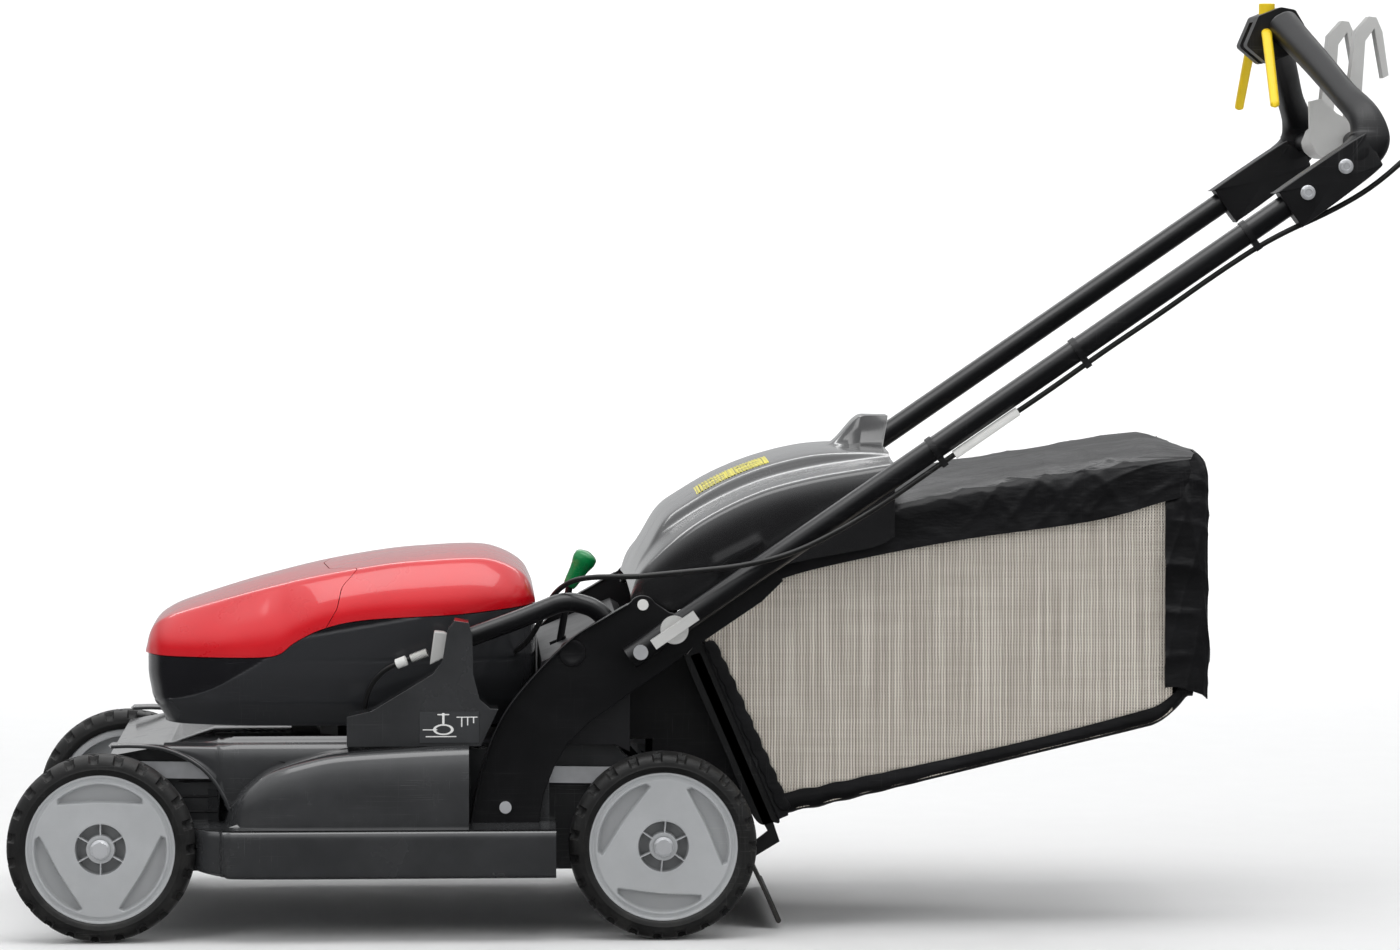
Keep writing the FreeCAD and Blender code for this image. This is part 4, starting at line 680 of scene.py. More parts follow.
def engine_shroud():
    """The plan loop carried from the floor edge up to the cover's seam, drawn in towards the foot.
    A raised lower panel starts at a line that sweeps from the nose's foot up to the seam."""
    x, y = SHROUD_PLAN[:, 0], SHROUD_PLAN[:, 1]
    seam = COVER_SEAM(x) - 0.9
    sweep = table_of([(-270, 138), (-252, 145.5), (-222, 150), (-190, 160), (-160, 175), (-135, 190),
                      (-113, 206), (-96, 216), (170, 262)])
    rows, masks = [], []
    for level in np.linspace(0, 1, 64):
        z = SHROUD_FOOT + (seam - SHROUD_FOOT) * level
        tuck = 15 * (1 - ease(SHROUD_FOOT, 150, z)) + 5 * (1 - ease(140, 178, z))
        edge = sweep(x)
        raised = np.where(z < edge, 1.0, ease(edge + 1.2, edge - 0.6, z))
        line = np.exp(-((z - 193) / 0.8) ** 2) * (x > -118)
        push = 1.3 * raised - 0.7 * line
        reach = np.hypot(x, y)
        factor = (reach - tuck + push - 1.3) / reach
        rows.append(np.stack([x * factor, y * factor, z], -1))
        masks.append(raised)
    lip = rows[-1] * np.array([0.982, 0.982, 1])
    inner_foot = rows[0] * np.array([0.97, 0.97, 1])
    rings = np.array([inner_foot] + rows + [lip, inner_foot + np.array([0, 0, 12])])
    item = tube_of_rings("shroud", rings, loop=True,
                         masks={"swoosh": np.array([masks[0]] + masks + [masks[-1], masks[0]])})
    finished(item, "chassis", SHROUD, ["engine_shroud"], 40)


engine_shroud()

# ---------------------------------------------------------------- deck

def section_bar(name, xs, profile):
    """A closed (y, z) section that changes along x, on both flanks of the deck."""
    for side, label in SIDES:
        rings = []
        for x in xs:
            loop = profile(x)
            rings.append(np.stack([np.full(len(loop), x), side * loop[:, 0], loop[:, 1]], -1))
        lofted(f"{name}_{label}", rings, "chassis", DECK, (), 40)


FENDER_TOP = table_of([(-172, 22), (-168, 36), (-156, 54), (-138, 70), (-118, 82), (-80, 93), (-43, 99.5),
                       (30, 104), (92, 106.5)])
FENDER_OUT = table_of([(-172, 230), (-160, 249), (-140, 261), (-110, 266), (-60, 268), (92, 268)])


def fender(x):
    """Flared flank: ledge on the skirt, wall that leans in, rounded top edge and a shoulder to the deck."""
    top, out = float(FENDER_TOP(x)), float(FENDER_OUT(x))
    high = max(top - 19, 2.0)
    knots = [(198, 17.5), (out + 2, 17.5), (out + 1.5, 20.5), (out - 1.0, 19 + 0.30 * high),
             (out - 4.0, 19 + 0.62 * high),
             (out - 9.0, 19 + 0.86 * high), (out - 17, 19 + 0.975 * high), (out - 30, top + 0.8),
             (min(out - 44, 219), top + 1.4), (198, top + 1.6)]
    return through(knots, 60, closed=True)


section_bar("deck_fender", np.concatenate([np.linspace(-172, -120, 24), np.linspace(-115, 93, 34)]), fender)
SKIRT_OUT = table_of([(-212, 226), (-207, 243), (-198, 258), (-184, 270), (-165, 278), (-140, 281),
                      (186, 281)])
SKIRT_LOW = table_of([(-212, -22), (-195, -26), (-170, -29.5), (-130, -32), (186, -32)])


def skirt(x):
    """Deep side band with a rolled upper edge, drawn in round the back of the front wheel."""
    out, low = float(SKIRT_OUT(x)), float(SKIRT_LOW(x))
    knots = [(200, low + 1), (out - 5, low), (out - 1.2, low + 1.5), (out + 0.4, low + 6), (out + 0.6, -5),
             (out + 0.2, 10), (out - 1.5, 16.5), (out - 5.5, 19.4), (out - 10, 20.2), (200, 20.4)]
    return through(knots, 60, closed=True)


section_bar("deck_skirt", np.concatenate([np.linspace(-211, -150, 26), np.linspace(-145, 186.5, 26)]), skirt)

ARCH_LOW = table_of([(-238, 103.5), (-212, 94), (-190, 78), (-174, 56), (-164, 33), (-160, 19.5),
                     (93, 19.5)])


def shoulder(x):
    """Wall of the deck over the arch and behind the fender, with a rounded upper edge."""
    low = float(ARCH_LOW(x))
    high = 107.0 - low
    knots = [(196, low), (221, low), (221.4, low + 0.25 * high), (220.6, low + 0.6 * high),
             (217.5, low + 0.88 * high), (211, 106.2), (204, 107.2), (196, 107.4)]
    return through(knots, 48, closed=True)


section_bar("deck_shoulder", np.concatenate([np.linspace(-237, -160, 36), np.linspace(-150, 93, 20)]),
            shoulder)

ARCH_LIP_Y = 217
RIB_Y, RIB_TOP, RIB_PITCH = 204.6, 66, 16.5
ARCH_LINE = through([(-296, 106.5), (-268, 107), (-238, 104), (-212, 94), (-190, 78), (-174, 56), (-164, 33),
                     (-160, 19)], 60)
for side, label in SIDES:
    path = np.stack([ARCH_LINE[:, 0], np.full(60, side * ARCH_LIP_Y), ARCH_LINE[:, 1]], -1)
    lofted("arch_lip_" + label, round_ends(swept(path, 27, 5.2, 24, 4.0), 0.1), "chassis", DECK, (), 50)
    for k in range(4):
        path = np.array([(x, side * RIB_Y, RIB_TOP - RIB_PITCH * k) for x in np.linspace(-222, -168, 8)])
        lofted(f"arch_rib_{k + 1}_{label}", round_ends(swept(path, 2.2, 2.4, 10)), "chassis", BLACK, (), 50,
               "deck_polymer")


def flanks_drawn_in(spots):
    """The flared flanks move in behind the fender and skirt mouldings that cover them."""
    x, y, z = spots.T
    flank = ease(206, 209, np.abs(y)) * ease(-215, -200, x) * (x < 120)
    upper = flank * (z > 19.5)
    lower = flank * (z <= 19.5)
    drawn = 206 + (np.abs(y) - 206) * np.where(z > 19.5, 0.42, 0.88)
    y = np.where(flank > 0.5, np.sign(y) * drawn, y)
    front = np.where(upper > 0.5, -92, -178)
    x = np.where((flank > 0.5) & (x < front), front, x)
    z = np.where(upper > 0.5, np.minimum(z, FENDER_TOP(x) - 5), z)
    return np.stack([x, y, np.where(lower > 0.5, np.clip(z, -29.5, 17.5), z)], -1)


softened("deck_shell", DECK, 1.2, reshape=flanks_drawn_in)
softened("side_cover", DECK, 1.6)
softened("rear_cowl", COWL, 1.6)
softened("discharge_chute", BLACK, 1.2)
for node in ("stay_left", "stay_right"):
    softened(node, PAINT, 0.8)

STAY_FLANGE_Y, BOSS_FACE_Y = 238.5, 238.8
BOSS_X, BOSS_Z = 205, 207
STAY_EDGE = through([(93.5, 20), (106.6, 83), (128, 137), (160, 179.7), (203, 222.7), (240, 246),
                     (266, 261)], 80)
for side, label in SIDES:
    path = np.stack([STAY_EDGE[:, 0] + 0.8, np.full(80, side * STAY_FLANGE_Y), STAY_EDGE[:, 1] - 0.8], -1)
    lofted("stay_flange_" + label, round_ends(swept(path, 13, 2.6, 16, 3.5)), "chassis", PAINT, (), 50)
    ring = np.linspace(0, 2 * np.pi, 40, endpoint=False)
    boss = []
    for reach, out in ((14.5, 0.2), (14.0, 2.4), (11.0, 3.0), (9.0, 2.2)):
        boss.append(np.stack([BOSS_X + reach * np.cos(ring), np.full(40, side * (BOSS_FACE_Y + out)),
                              BOSS_Z + reach * np.sin(ring)], -1))
    lofted("stay_boss_" + label, boss, "chassis", PAINT, (), 50)

# ---------------------------------------------------------------- discharge flap

FLAP_HALF, FLAP_WALL = 212, 3.2
FLAP_LOW = table_of([(269, 252), (285, 249), (350, 256), (400, 279), (439, 300), (530, 318), (556, 330)])
FLAP_SHOULDER = table_of([(269, 266), (281, 293), (319, 329), (361, 356), (412, 379), (464, 393), (520, 403),
                          (556, 409)])
FLAP_CROWN = table_of([(269, 268), (280, 297), (290, 314), (309, 345), (335, 364), (374, 386), (420, 404),
                       (471, 416), (520, 419), (556, 418)])
RIB_FROM, RIB_TO = np.array([362.0, 299.0]), np.array([405.0, 324.0])


def flap_grid():
    """Side walls up to a rounded shoulder, a step up to a crowned middle and a raised lug at the back.
    A pad stands proud of each wall along a short line; the crown falls away towards the hinge."""
    rows = []
    for x in np.concatenate([np.linspace(269.5, 300, 22), np.linspace(303, 556, 78)]):
        low, shoulder, crown = (float(f(x)) for f in (FLAP_LOW, FLAP_SHOULDER, FLAP_CROWN))
        tall = max(shoulder - low, 3)
        step = crown - shoulder
        half = FLAP_HALF - 16 * float(ease(290, 268, x))
        right = [(half, low), (half + 0.6, low + 0.35 * tall), (half - 0.5, low + 0.72 * tall),
                 (half - 4.5, low + 0.92 * tall), (half - 12, shoulder - 0.4),
                 (half - 28, shoulder + 0.12 * step),
                 (154, shoulder + 0.30 * step), (140, shoulder + 0.48 * step), (129, shoulder + 0.82 * step),
                 (116, shoulder + 0.97 * step), (80, crown + 1.2), (30, crown + 2.2)]
        rows.append(mirrored(x, right, crown + 2.3, 150))
    grid = np.array(rows)
    x, y, z = grid[..., 0], grid[..., 1], grid[..., 2]
    lug = ease(494, 536, x) * (1 - ease(20, 37, np.abs(y) + 0.10 * (552 - x)))
    z = z + 33.0 * lug
    x = x + 7 * lug * ease(536, 556, x)
    span = RIB_TO - RIB_FROM
    share = np.clip(((x - RIB_FROM[0]) * span[0] + (z - RIB_FROM[1]) * span[1]) / (span @ span), 0, 1)
    away = np.hypot(x - RIB_FROM[0] - share * span[0], z - RIB_FROM[1] - share * span[1])
    pad = ease(7.5, 5.5, away) * (np.abs(y) > 200)
    return np.stack([x, y + np.sign(y) * 2.4 * pad, z], -1)


flap = flap_grid()
finished(panel("flap_skin", flap, FLAP_WALL, -outward_of(flap, (50, 75), 2, 1)), "flap", FLAP,
         ["discharge_flap"], 45)

DECAL_THICK = 0.25


def decal(name, body, grid, axis, sign, lift, marks, ground, ink):
    """A thin printed plate, lifted off a surface grid that faces the sign of axis; marks is 1 where
    the ink is."""
    normal = outward_of(grid, (50, 50), axis, sign)
    item = panel(name, grid + normal * lift, DECAL_THICK, -normal, masks={"ink": np.clip(marks, 0, 1)})
    material, n, shader = base_finish(name + "_print", Specular_IOR_Level=0.4)
    ink_mask = n.span(n.add("Attribute", {"attribute_name": "ink"}).outputs["Fac"], 0.35, 0.65)
    fine = n.group(GRAIN, Scale=700.0)
    paper = n.mix(n.span(fine.outputs["Mottle"], 0.3, 0.7), shade(ground, 0.94), shade(ground, 1.04))
    n.feed(shader.inputs["Base Color"], n.mix(ink_mask, paper, ink + (1.0,)))
    n.feed(shader.inputs["Roughness"], n.span(fine.outputs["Mottle"], 0.2, 0.8, 0.30, 0.45))
    n.feed(shader.inputs["Normal"], n.bump(fine.outputs["Height"], 0.00003))
    finished(item, body, material, (), 60)


def bar(u, v, left, right, low, high, soft=0.012):
    """1 inside a rectangle of the print's own unit square."""
    return (ease(left - soft, left + soft, u) * (1 - ease(right - soft, right + soft, u))
            * ease(low - soft, low + soft, v) * (1 - ease(high - soft, high + soft, v)))


def ring_mark(u, v, cu, cv, radius, wide):
    """1 along a circle of the print's own unit square."""
    return 1 - ease(wide, wide * 1.6, np.abs(np.hypot(u - cu, v - cv) - radius))


u, v = np.meshgrid(np.linspace(0, 1, 110), np.linspace(0, 1, 90), indexing="ij")
notice = np.stack([345 + 80 * u, -108 + 86 * v, 0 * u], -1)
for line in notice:
    row = flap[np.argmin(np.abs(flap[:, 75, 0] - line[0, 0]))]
    line[:, 2] = np.interp(line[:, 1], row[:, 1], row[:, 2])
marks = np.zeros_like(u)
for left in (0.06, 0.54):
    frame_bars = bar(u, v, left, left + 0.40, 0.90, 0.93) + bar(u, v, left, left + 0.40, 0.07, 0.10)
    posts = bar(u, v, left, left + 0.012, 0.07, 0.93) + bar(u, v, left + 0.39, left + 0.40, 0.07, 0.93)
    lines = [bar(u, v, left + start, left + end, low, high) for start, end, low, high in (
        (0.22, 0.35, 0.52, 0.58), (0.05, 0.35, 0.28, 0.32), (0.05, 0.25, 0.18, 0.21))]
    for mark in (frame_bars, posts, ring_mark(u, v, left + 0.12, 0.68, 0.07, 0.016), *lines):
        marks = np.maximum(marks, mark)
decal("flap_notice", "flap", notice, 2, 1, 0.45, marks, (0.80, 0.72, 0.10), (0.03, 0.03, 0.02))

guide = np.stack([40 + 64 * u, np.full_like(u, -236.2), 110 + 34 * v], -1)
marks = ring_mark(u, v, 0.40, 0.42, 0.15, 0.018)
for edges in ((0.10, 0.62, 0.18, 0.215), (0.62, 0.98, 0.80, 0.83), (0.70, 0.72, 0.50, 0.80),
              (0.80, 0.82, 0.55, 0.80), (0.90, 0.92, 0.62, 0.80), (0.05, 0.30, 0.40, 0.43),
              (0.38, 0.42, 0.60, 0.95), (0.30, 0.50, 0.88, 0.92)):
    marks += bar(u, v, *edges)
decal("height_guide", "chassis", guide, 1, -1, 0.5, marks, (0.042, 0.044, 0.047), (0.75, 0.75, 0.74))

# ---------------------------------------------------------------- grass bag

BAG_HALF = 198
VINYL_THICK, MESH_THICK = 1.6, 1.2
BAG_FOLD = table_of([(392, 268), (405, 288), (462, 333), (555, 364), (677, 389), (760, 401), (840, 414),
                     (893, 416)])
BAG_TOP = table_of([(392, 275), (405, 298), (462, 350), (556, 386), (700, 410), (832, 431), (870, 427),
                    (893, 419)])
DRAPE_LOW = table_of([(392, 262), (437, 285), (518, 305), (631, 326), (773, 346), (852, 367), (893, 377)])
BAG_LOW = table_of([(443, 27), (500, 39), (700, 87), (820, 115.5), (846, 123), (866, 137), (880, 152)])


def folds(u, v, rows, seed):
    """Soft creases in cloth: (1 - |sin|)^3 of a warped phase in some directions, faded in patches."""
    draw = np.random.default_rng(seed)
    total = np.zeros_like(u)
    for _ in range(rows):
        lean, pitch, shift = draw.uniform(-0.9, 0.9), draw.uniform(0.028, 0.062), draw.uniform(0, 6.28)
        u_rate, v_rate = draw.uniform(0.006, 0.015), draw.uniform(0.008, 0.02)
        warp = 1.3 * np.sin(u * u_rate + shift) + 1.1 * np.sin(v * v_rate + shift)
        phase = pitch * (u * math.cos(lean) + v * math.sin(lean)) + warp
        u_rate, v_rate = draw.uniform(0.008, 0.018), draw.uniform(0.010, 0.022)
        patch = ease(-0.25, 0.6, np.sin(u * u_rate + shift) * np.sin(v * v_rate + 2 * shift))
        total += (1 - np.abs(np.sin(phase))) ** 3 * patch * draw.uniform(0.5, 1.0)
    return total


def bag_cover():
    """The vinyl top: a drape down each side, a fold and a low crown, with creases along the normal."""
    rows = []
    for x in np.linspace(396, 891, 150):
        low, fold, top = (float(f(x)) for f in (DRAPE_LOW, BAG_FOLD, BAG_TOP))
        out = BAG_HALF + 3.2 - 7 * float(ease(872, 893, x))
        right = [(out + 1.5, low), (out + 0.5, low + 0.35 * (fold - low)),
                 (out - 0.5, low + 0.75 * (fold - low)),
                 (out - 6, fold - 3), (out - 18, fold + 1.5), (out - 55, fold + 0.45 * (top - fold)),
                 (out - 110, fold + 0.8 * (top - fold))]
        rows.append(mirrored(x, right, top, 160))
    grid = np.array(rows)
    across = np.arange(160)[None] * 3.6 + 0 * grid[..., 0]
    crease = folds(grid[..., 0], across, 9, 7)
    fade = ease(396, 430, grid[..., 0]) * (0.35 + 0.65 * ease(450, 800, grid[..., 0]))
    normal = outward_of(grid, (75, 80), 2, 1)
    edge = ease(0, 12, np.arange(160))[None] * ease(159, 147, np.arange(160))[None]
    grid = grid + normal * (2.2 * (crease - 0.6) * fade * (0.35 + 0.65 * edge))[..., None]
    return grid, outward_of(grid, (75, 80), 2, 1)


def surface_area(grid):
    """Area of a grid's skin in square metres, by the cross product of its cells' diagonals."""
    first, second = grid[1:, 1:] - grid[:-1, :-1], grid[1:, :-1] - grid[:-1, 1:]
    return 0.5 * np.linalg.norm(np.cross(first, second), axis=2).sum() * MILLIMETRE ** 2


def sewn(name, grid_and_normal, thick, finish, flat, stands_for=()):
    """A cloth panel of the bag; flat gives the size it was cut to."""
    grid, normal = grid_and_normal
    item = panel(name, grid, thick, -normal)
    finished(item, "grass_bag", finish, stands_for, 50)
    min(
        surface_area(grid), flat[0] * flat[1])


sewn("bag_cover", bag_cover(), VINYL_THICK, VINYL, (0.52, 0.64), ["bag_top"])


def bag_side(side):
    """Mesh side between the frame's sloping edge, the bottom band, the drape and the rear strip.
    It bellies out by a product of sines, with faint ripples near its edges."""
    t = np.linspace(0, 1, 90)[:, None]
    s = np.linspace(0, 1, 70)[None]
    bottom_x, bottom_z = 435 + 427 * t, BAG_LOW(np.maximum(435 + 427 * t, 443)) + 4
    top_x = 350 + 510 * t
    top_z = np.where(top_x < 442, 218 + (top_x - 350) * 0.86, DRAPE_LOW(np.maximum(top_x, 442)) + 9)
    x = bottom_x + (top_x - bottom_x) * s
    z = bottom_z + (top_z - bottom_z) * s
    belly = 3.2 * np.sin(np.pi * s) * np.sin(np.pi * t) + 0.8 * folds(x, z, 5, 11 + side)
    grid = np.stack([x, side * (BAG_HALF - 3.5 + belly), z], -1)
    return grid, outward_of(grid, (45, 35), 1, side)


for side, label in SIDES:
    sewn("bag_mesh_" + label, bag_side(side), MESH_THICK, MESH_SIDE, (0.52, 0.30),
         ["bag_fabric"])


def bag_floor():
    """The vinyl bottom: a band up each side, rounded lower corners and a floor that sags a little."""
    rows = []
    for x in np.concatenate([np.linspace(430, 820, 70), np.linspace(824, 886, 26)]):
        low = float(BAG_LOW(max(x, 443))) - 2.0 * float(ease(443, 430, x))
        band = 21 - 3 * math.sin(x / 90)
        curl = float(ease(846, 886, x))
        out = BAG_HALF - 0.5 - 8 * curl
        right = [(out, low + band), (out + 1.2, low + 0.55 * band), (out - 0.5, low + 7),
                 (out - 7, low + 1.2), (out - 20, low - 0.5), (out - 90, low - 2.5)]
        row = mirrored(x, right, low - 3.5, 130)
        row[:, 2] += 0.9 * np.sin(x / 5.5 + 2 * np.sin(row[:, 1] / 60)) * float(ease(620, 450, x))
        rows.append(row)
    grid = np.array(rows)
    return grid, outward_of(grid, (40, 65), 2, -1)


sewn("bag_floor", bag_floor(), VINYL_THICK, BINDING, (0.47, 0.48))


BACK_PIVOT = 860


def bag_back():
    """The rear drape: down from the cover, wrapped round both corners and left free at the hem."""
    angle_knots = [(853, -201.5), (872, -202), (890, -200.5), (899, -194), (903, -182), (906, -120),
                   (906, 0), (906, 120), (903, 182), (899, 194), (890, 200.5), (872, 202), (853, 201.5)]
    loop = through(angle_knots, 170)
    rows = []
    for share in np.linspace(0, 1, 80):
        top = 419 - 1.6 * np.abs(loop[:, 0] - 893) * (loop[:, 0] < 893)
        top = np.maximum(top, DRAPE_LOW(np.minimum(loop[:, 0], 893)))
        hem = 153 + 4 * np.sin(np.arange(170) / 13.0) + 10 * ease(895, 855, loop[:, 0])
        z = hem + (top - hem) * share
        flare = 1 + 0.010 * (1 - share)
        drawn = np.where(share > 0.9, (share - 0.9) * 10, 0) ** 2
        x = BACK_PIVOT + (loop[:, 0] - BACK_PIVOT) * (flare - 0.28 * drawn * (loop[:, 0] > 880))
        rows.append(np.stack([x, loop[:, 1] * (1 + 0.004 * (1 - share) - 0.02 * drawn), z], -1))
    grid = np.array(rows)
    crease = folds(grid[..., 2], np.arange(170)[None] * 3.2 + 0 * grid[..., 0], 7, 23)
    normal = outward_of(grid, (40, 85), 0, 1)
    grid = grid + normal * (2.4 * (crease - 0.5))[..., None]
    return grid, outward_of(grid, (40, 85), 0, 1)


sewn("bag_back", bag_back(), VINYL_THICK, VINYL, (0.53, 0.27))
softened("bag_frame", BLACK, 1.4)
for side, label in SIDES:
    seam = through([(438, 30), (419, 73), (397, 122), (375, 172), (354, 216)], 60)
    outline = through([(350, 213), (372, 172), (404, 100), (431, 25), (424, 17), (404, 22), (372, 96),
                       (332, 188), (332, 202)], 90, closed=True)
    rings = np.array([np.stack([outline[:, 0], np.full(90, side * reach), outline[:, 1]], -1)
                      for reach in (183.5, 184.0, 195.5, 196.0)])
    lofted("bag_cheek_" + label, rings, "grass_bag", BLACK, (), 40)
    ruffle = 1.1 * np.sin(np.linspace(0, 62, 60))
    path = np.stack([seam[:, 0] + ruffle, np.full(60, side * 198.5), seam[:, 1]], -1)
    lofted("bag_binding_" + label, round_ends(swept(path, 3.2, 13, 16, 3.0)), "grass_bag",
             BINDING, (), 50)

# ---------------------------------------------------------------- handle

GRIP_Y, GRIP_BOLT_Y, WHEEL_BOLT_Y = 255, 272.6, 272.4
for side, label in SIDES:
    y = side * GRIP_Y
    knots = [on_handle(852, -1, y), on_handle(880, -1, y), on_handle(915, 0, y),
             on_handle(946, 1, y * 0.998),
             on_handle(962, 9, y * 0.985), (1061, side * 240, 786), (1046, side * 196, 811),
             (1027, side * 128, 846), (1012, side * 76, 872), (1003, side * 44, 888)]
    path = through(knots, 130)
    place = np.linspace(0, 9, 130)
    wide, high = (relaxed(np.interp(place, range(10), sizes), 12) for sizes in (
        [34, 34.5, 35, 38, 40, 33, 30, 33, 34, 36], [36, 37, 38, 42, 45, 34, 29, 31, 33, 35]))
    lofted("grip_" + label, round_ends(swept(path, wide, high, 40, 2.5), 0.93), "handle", GRIP,
           ["grip_frame"] if side < 0 else (), 40)
    cheek = [(846, -24), (852, -27), (900, -26), (948, -23), (956, -16), (956, 12), (950, 18), (850, 19),
             (846, 15)]
    cheek = np.array([on_handle(a, u, 0) for a, u in through(cheek, 90, closed=True)])
    rings = [cheek * [1, 0, 1] + [0, side * reach, 0] for reach in (236.2, 237.2, 272.2, 273.2)]
    middle = cheek.mean(0) * [1, 0, 1]
    for k in (0, 3):
        rings[k] = rings[k] + (middle + [0, rings[k][0, 1], 0] - rings[k]) * 0.035
    lofted("grip_cheek_" + label, rings, "handle", GRIP, (), 40)
crossbar = np.array([on_handle(962, 5, y) for y in np.linspace(-244, 244, 30)])
lofted("grip_crossbar", swept(crossbar, 22, 22, 28, 2.0, (1, 0, 0)), "handle", GRIP,
         (), 40)
softened("control_module", GRIP, 1.4)
LEVER_BAR = on_handle(962, 5, 0)
COLLAR = 19


def one_lobe(spots):
    """Only the left cam lobe stands out of the collar; the right one is drawn in to the collar."""
    x, y, z = spots.T
    reach = np.hypot(x - LEVER_BAR[0], z - LEVER_BAR[2])
    drawn = np.where((y > 109) & (reach > COLLAR), COLLAR / np.maximum(reach, 1), 1.0)
    return np.stack([LEVER_BAR[0] + (x - LEVER_BAR[0]) * drawn, y,
                     LEVER_BAR[2] + (z - LEVER_BAR[2]) * drawn], -1)


softened("drive_lever", LIGHT, 1.0, reshape=one_lobe)
for side, label in SIDES:
    for k, along in enumerate((871.4, 921)):
        bolt_head(f"grip_bolt_{k + 1}_{label}", "handle", on_handle(along, 0, side * GRIP_BOLT_Y), side,
               radii=(8.0, 8.0, 7.2, 6.4, 6.4, 5.8, 4.2, 3.6))
    for end, body in (("front", f"front_{label}_crank"), ("rear", "rear_axle")):
        axle_x = WHEELS[f"{end}_{label}"][0]
        bolt_head(f"wheel_bolt_{end}_{label}", body, (axle_x, side * WHEEL_BOLT_Y, 0), side,
               radii=(10.8, 10.8, 9.4, 9.0, 9.0, 8.2, 6.6, 6.0))
for node, finish, bevel in (
        ("safety_button", YELLOW, 0.9), ("height_trigger", LIGHT, 1.2), ("wing_knob_left", LIGHT, 1.8),
        ("handle_tube_left", PAINT, 0.8), ("wing_knob_right", LIGHT, 1.8), ("handle_tube_right", PAINT, 0.8),
        ("trailing_shield", BELT, 0.6), ("cable_clips", BLACK, 0.5)):
    softened(node, finish, bevel)


def bail(side):
    """A rounded lever blade swept from the module down to its tip, wider than it is thick."""
    knots = [(983, side * 49, 880), (982, side * 62, 872), (980.5, side * 100, 838), (979, side * 143, 797)]
    path = through(knots, 50)
    rings = swept(path, np.linspace(12, 10, 50), np.linspace(9, 8, 50), 24, 2.8, (1, 0, 0))
    return round_ends(rings, 0.5 * 0.6)


for side, label in SIDES:
    lofted("blade_bail_" + label, bail(side), "blade_control", YELLOW,
             ["blade_lever"] if side < 0 else (), 40)
shaft = np.array([(983, y, 880) for y in np.linspace(-50, 50, 12)])
lofted("blade_bail_shaft", swept(shaft, 10, 10, 24, 2.0, (1, 0, 0)), "blade_control", YELLOW, (), 40)

# ---------------------------------------------------------------- selector lever, cables

SELECTOR_Y = -60
knob_axis = through([(x, SELECTOR_Y, z) for x, z in ((205, 266), (209.5, 273.5), (215, 283), (219, 290),
                                                     (224, 298.6), (227.4, 304.4))], 60)
knob_size = relaxed(np.interp(np.linspace(0, 1, 60), [0, 0.06, 0.30, 0.55, 0.70, 0.85, 0.95, 1.0],
                              [13, 15, 18, 22, 26.5, 25.5, 17, 4]), 6)
lofted("selector_knob", swept(knob_axis, knob_size, knob_size, 32), "mulch_selector", GREEN,
       ["chute_lever"], 40)
stem = np.array([(189 + 17 * t, SELECTOR_Y, 170 + 98 * t) for t in np.linspace(0, 1, 20)])
lofted("selector_stem", swept(stem, 8, 8, 20), "mulch_selector", PAINT, (), 40)
eye = np.array([(x, SELECTOR_Y, 168) for x in np.linspace(181, 197, 8)])
lofted("selector_eye", swept(eye, 13.5, 13.5, 24), "mulch_selector", PAINT, (), 40)

CABLE_ON_HANDLE = [
    (984, -31, -252), (945, -37, -255), (885, -33, -257), (815, -19.5, -258), (742, -17.5, -257),
    (668, -18.5, -258), (592, -17.5, -257), (520, -18.5, -259), (446, -17.5, -258), (372, -17.5, -259),
    (306, -17.5, -263), (246, -13, -272), (190, -4, -275.5), (140, 16, -275.5), (96, 40, -273),
    (46, 67, -262)]


def cable(name, body, points, diameter, node):
    """A sheathed control cable on one smooth spline, from where it leaves its end to where it goes in."""
    curve = bpy.data.curves.new(name, "CURVE")
    curve.dimensions = "3D"
    curve.bevel_depth = diameter * MILLIMETRE / 2
    curve.bevel_resolution = 4
    curve.resolution_u = 12
    curve.use_fill_caps = True
    spline = curve.splines.new("NURBS")
    places = world(points)
    spline.points.add(len(places) - 1)
    spline.points.foreach_set("co", np.hstack([places, np.ones((len(places), 1))]).ravel())
    spline.order_u = 3
    spline.use_endpoint_u = True
    item = bpy.data.objects.new(name, curve)
    bpy.context.scene.collection.objects.link(item)
    curve.materials.append(CABLE)
    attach(item, body)
    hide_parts(node)


handle_route = [on_handle(*point) for point in CABLE_ON_HANDLE]
cable("control_sheath", "handle", handle_route, 6, "control_cable")
cable_end = handle_route[-1]
cable("engine_sheath", "chassis", [cable_end, (cable_end[0] - 26, -254, cable_end[2] - 1), (226, -236, 289),
                                   (203, -212, 283), (184, -186, 266), (172, -168, 236), (156, -152, 208),
                                   (138, -136, 196)], 6, "deck_cable")
trigger_route = [(49, -208, 206), (26, -206, 197), (2, -199, 187), (-14, -189, 168), (-21, -182, 142),
                 (-22, -179, 105)]
cable("trigger_sheath", "chassis", trigger_route, 5, "trigger_cable")
ferrule = through(trigger_route[:3], 40)
lofted("trigger_ferrule", round_ends(swept(ferrule[19:30], 11, 11, 24)), "chassis", WHITE, (), 40)
coil = through(trigger_route[:2], 120)[6:96]
coil_size = 8.0 + 1.6 * np.cos(np.arange(90) * 2 * np.pi / 7.5)
lofted("trigger_spring", swept(coil, coil_size, coil_size, 20), "chassis", WHITE, (), 40)
softened("cable_adjuster", WHITE, 0.6)

# ---------------------------------------------------------------- floor, light and camera


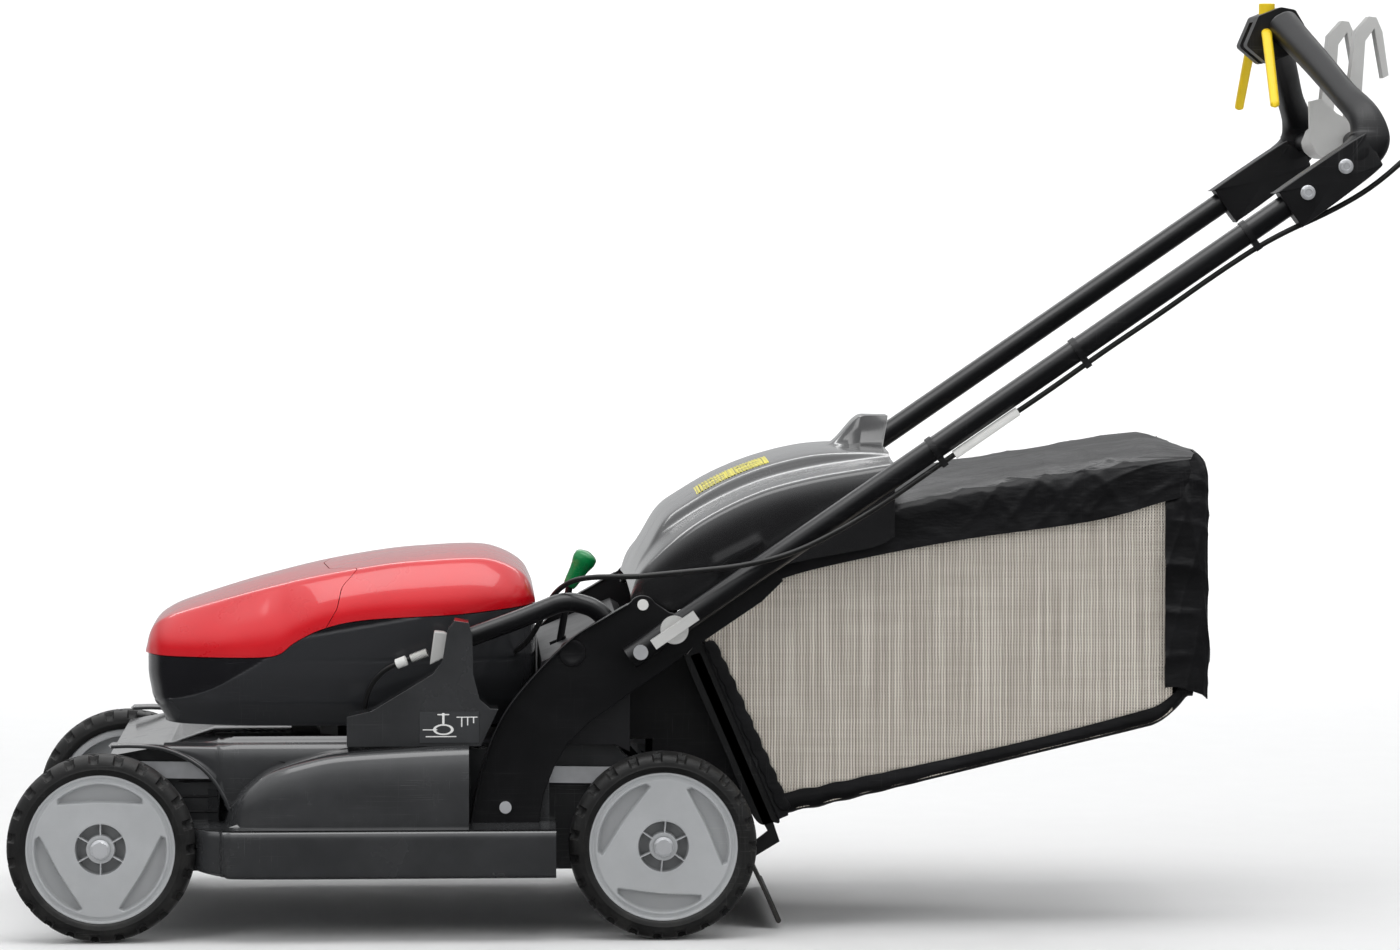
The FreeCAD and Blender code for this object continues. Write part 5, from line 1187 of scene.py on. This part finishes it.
def studio_sweep():
    """Floor that turns up behind the machine: straight, a quarter circle, then upright."""
    bend = np.linspace(0, np.pi / 2, 16)
    reach = np.concatenate([[-12.0], 9.0 + 2.0 * np.sin(bend), [11.0]])
    height = np.concatenate([[0.0], 2.0 - 2.0 * np.cos(bend), [8.0]])
    across = np.linspace(-13.0, 13.0, 9)
    grid = np.stack(np.broadcast_arrays(across[:, None], reach[None], height[None]), -1)
    ids = np.arange(grid.shape[0] * grid.shape[1]).reshape(grid.shape[:2])
    quads = np.stack([ids[:-1, :-1], ids[1:, :-1], ids[1:, 1:], ids[:-1, 1:]], -1).reshape(-1, 4)
    mesh = bpy.data.meshes.new("studio_sweep")
    mesh.from_pydata(grid.reshape(-1, 3).tolist(), [], quads.tolist())
    mesh.shade_smooth()
    item = bpy.data.objects.new("studio_sweep", mesh)
    bpy.context.scene.collection.objects.link(item)
    mesh.materials.append(FLOOR)
    item.visible_glossy = False


studio_sweep()


def softbox(name, place, aim, wide, high, power, mirrored=True):
    """A rectangular area light turned to face a point; mirrored says if glossy surfaces show it."""
    lamp = bpy.data.lights.new(name, "AREA")
    lamp.shape, lamp.size, lamp.size_y, lamp.energy = "RECTANGLE", wide, high, power
    item = bpy.data.objects.new(name, lamp)
    item.location = place
    item.rotation_euler = (Vector(aim) - Vector(place)).to_track_quat("-Z", "Y").to_euler()
    item.visible_glossy = mirrored
    bpy.context.scene.collection.objects.link(item)


softbox("overhead", (0.0, -0.7, 3.2), (0.0, 0.0, 0.4), 3.6, 2.0, 52)
softbox("front_left", (-2.6, -3.0, 2.2), (0.0, 0.0, 0.4), 1.4, 1.8, 30, False)
softbox("front_right", (2.8, -2.6, 2.0), (0.0, 0.0, 0.5), 1.2, 1.8, 22, False)
softbox("backdrop", (0.0, 6.0, 5.0), (0.0, 8.2, 0.0), 9.0, 5.0, 420)
world_light = bpy.data.worlds.new("studio_air")
world_light.use_nodes = True
air = Nodes(world_light.node_tree)
background = world_light.node_tree.nodes["Background"]
direction = air.add("SeparateXYZ", Vector=air.add("TexCoord").outputs["Generated"])
reflected = air.sum("MAXIMUM", air.span(direction.outputs[2], 0.05, 0.75, 0.04, 1.1),
                    air.span(direction.outputs[1], 0.25, 0.95, 0.0, 0.55))
rays = air.add("LightPath").outputs["Is Glossy Ray"]
air.feed(background.inputs["Strength"], air.sum("MULTIPLY_ADD", rays, air.sum("SUBTRACT", reflected, 0.55),
                                                0.55))
background.inputs["Color"].default_value = (0.93, 0.94, 0.95, 1)
bpy.context.scene.world = world_light
bpy.context.scene.view_settings.view_transform = "Standard"

camera = bpy.data.cameras.new("camera")
camera.sensor_fit, camera.sensor_width, camera.lens = "HORIZONTAL", 36, 145.2
viewer = bpy.data.objects.new("camera", camera)
viewer.location = (-0.281, -6.318, 0.8346)
viewer.rotation_euler = (math.radians(90 - 3.14), 0, math.radians(-2.55))
bpy.context.scene.collection.objects.link(viewer)
bpy.context.scene.camera = viewer
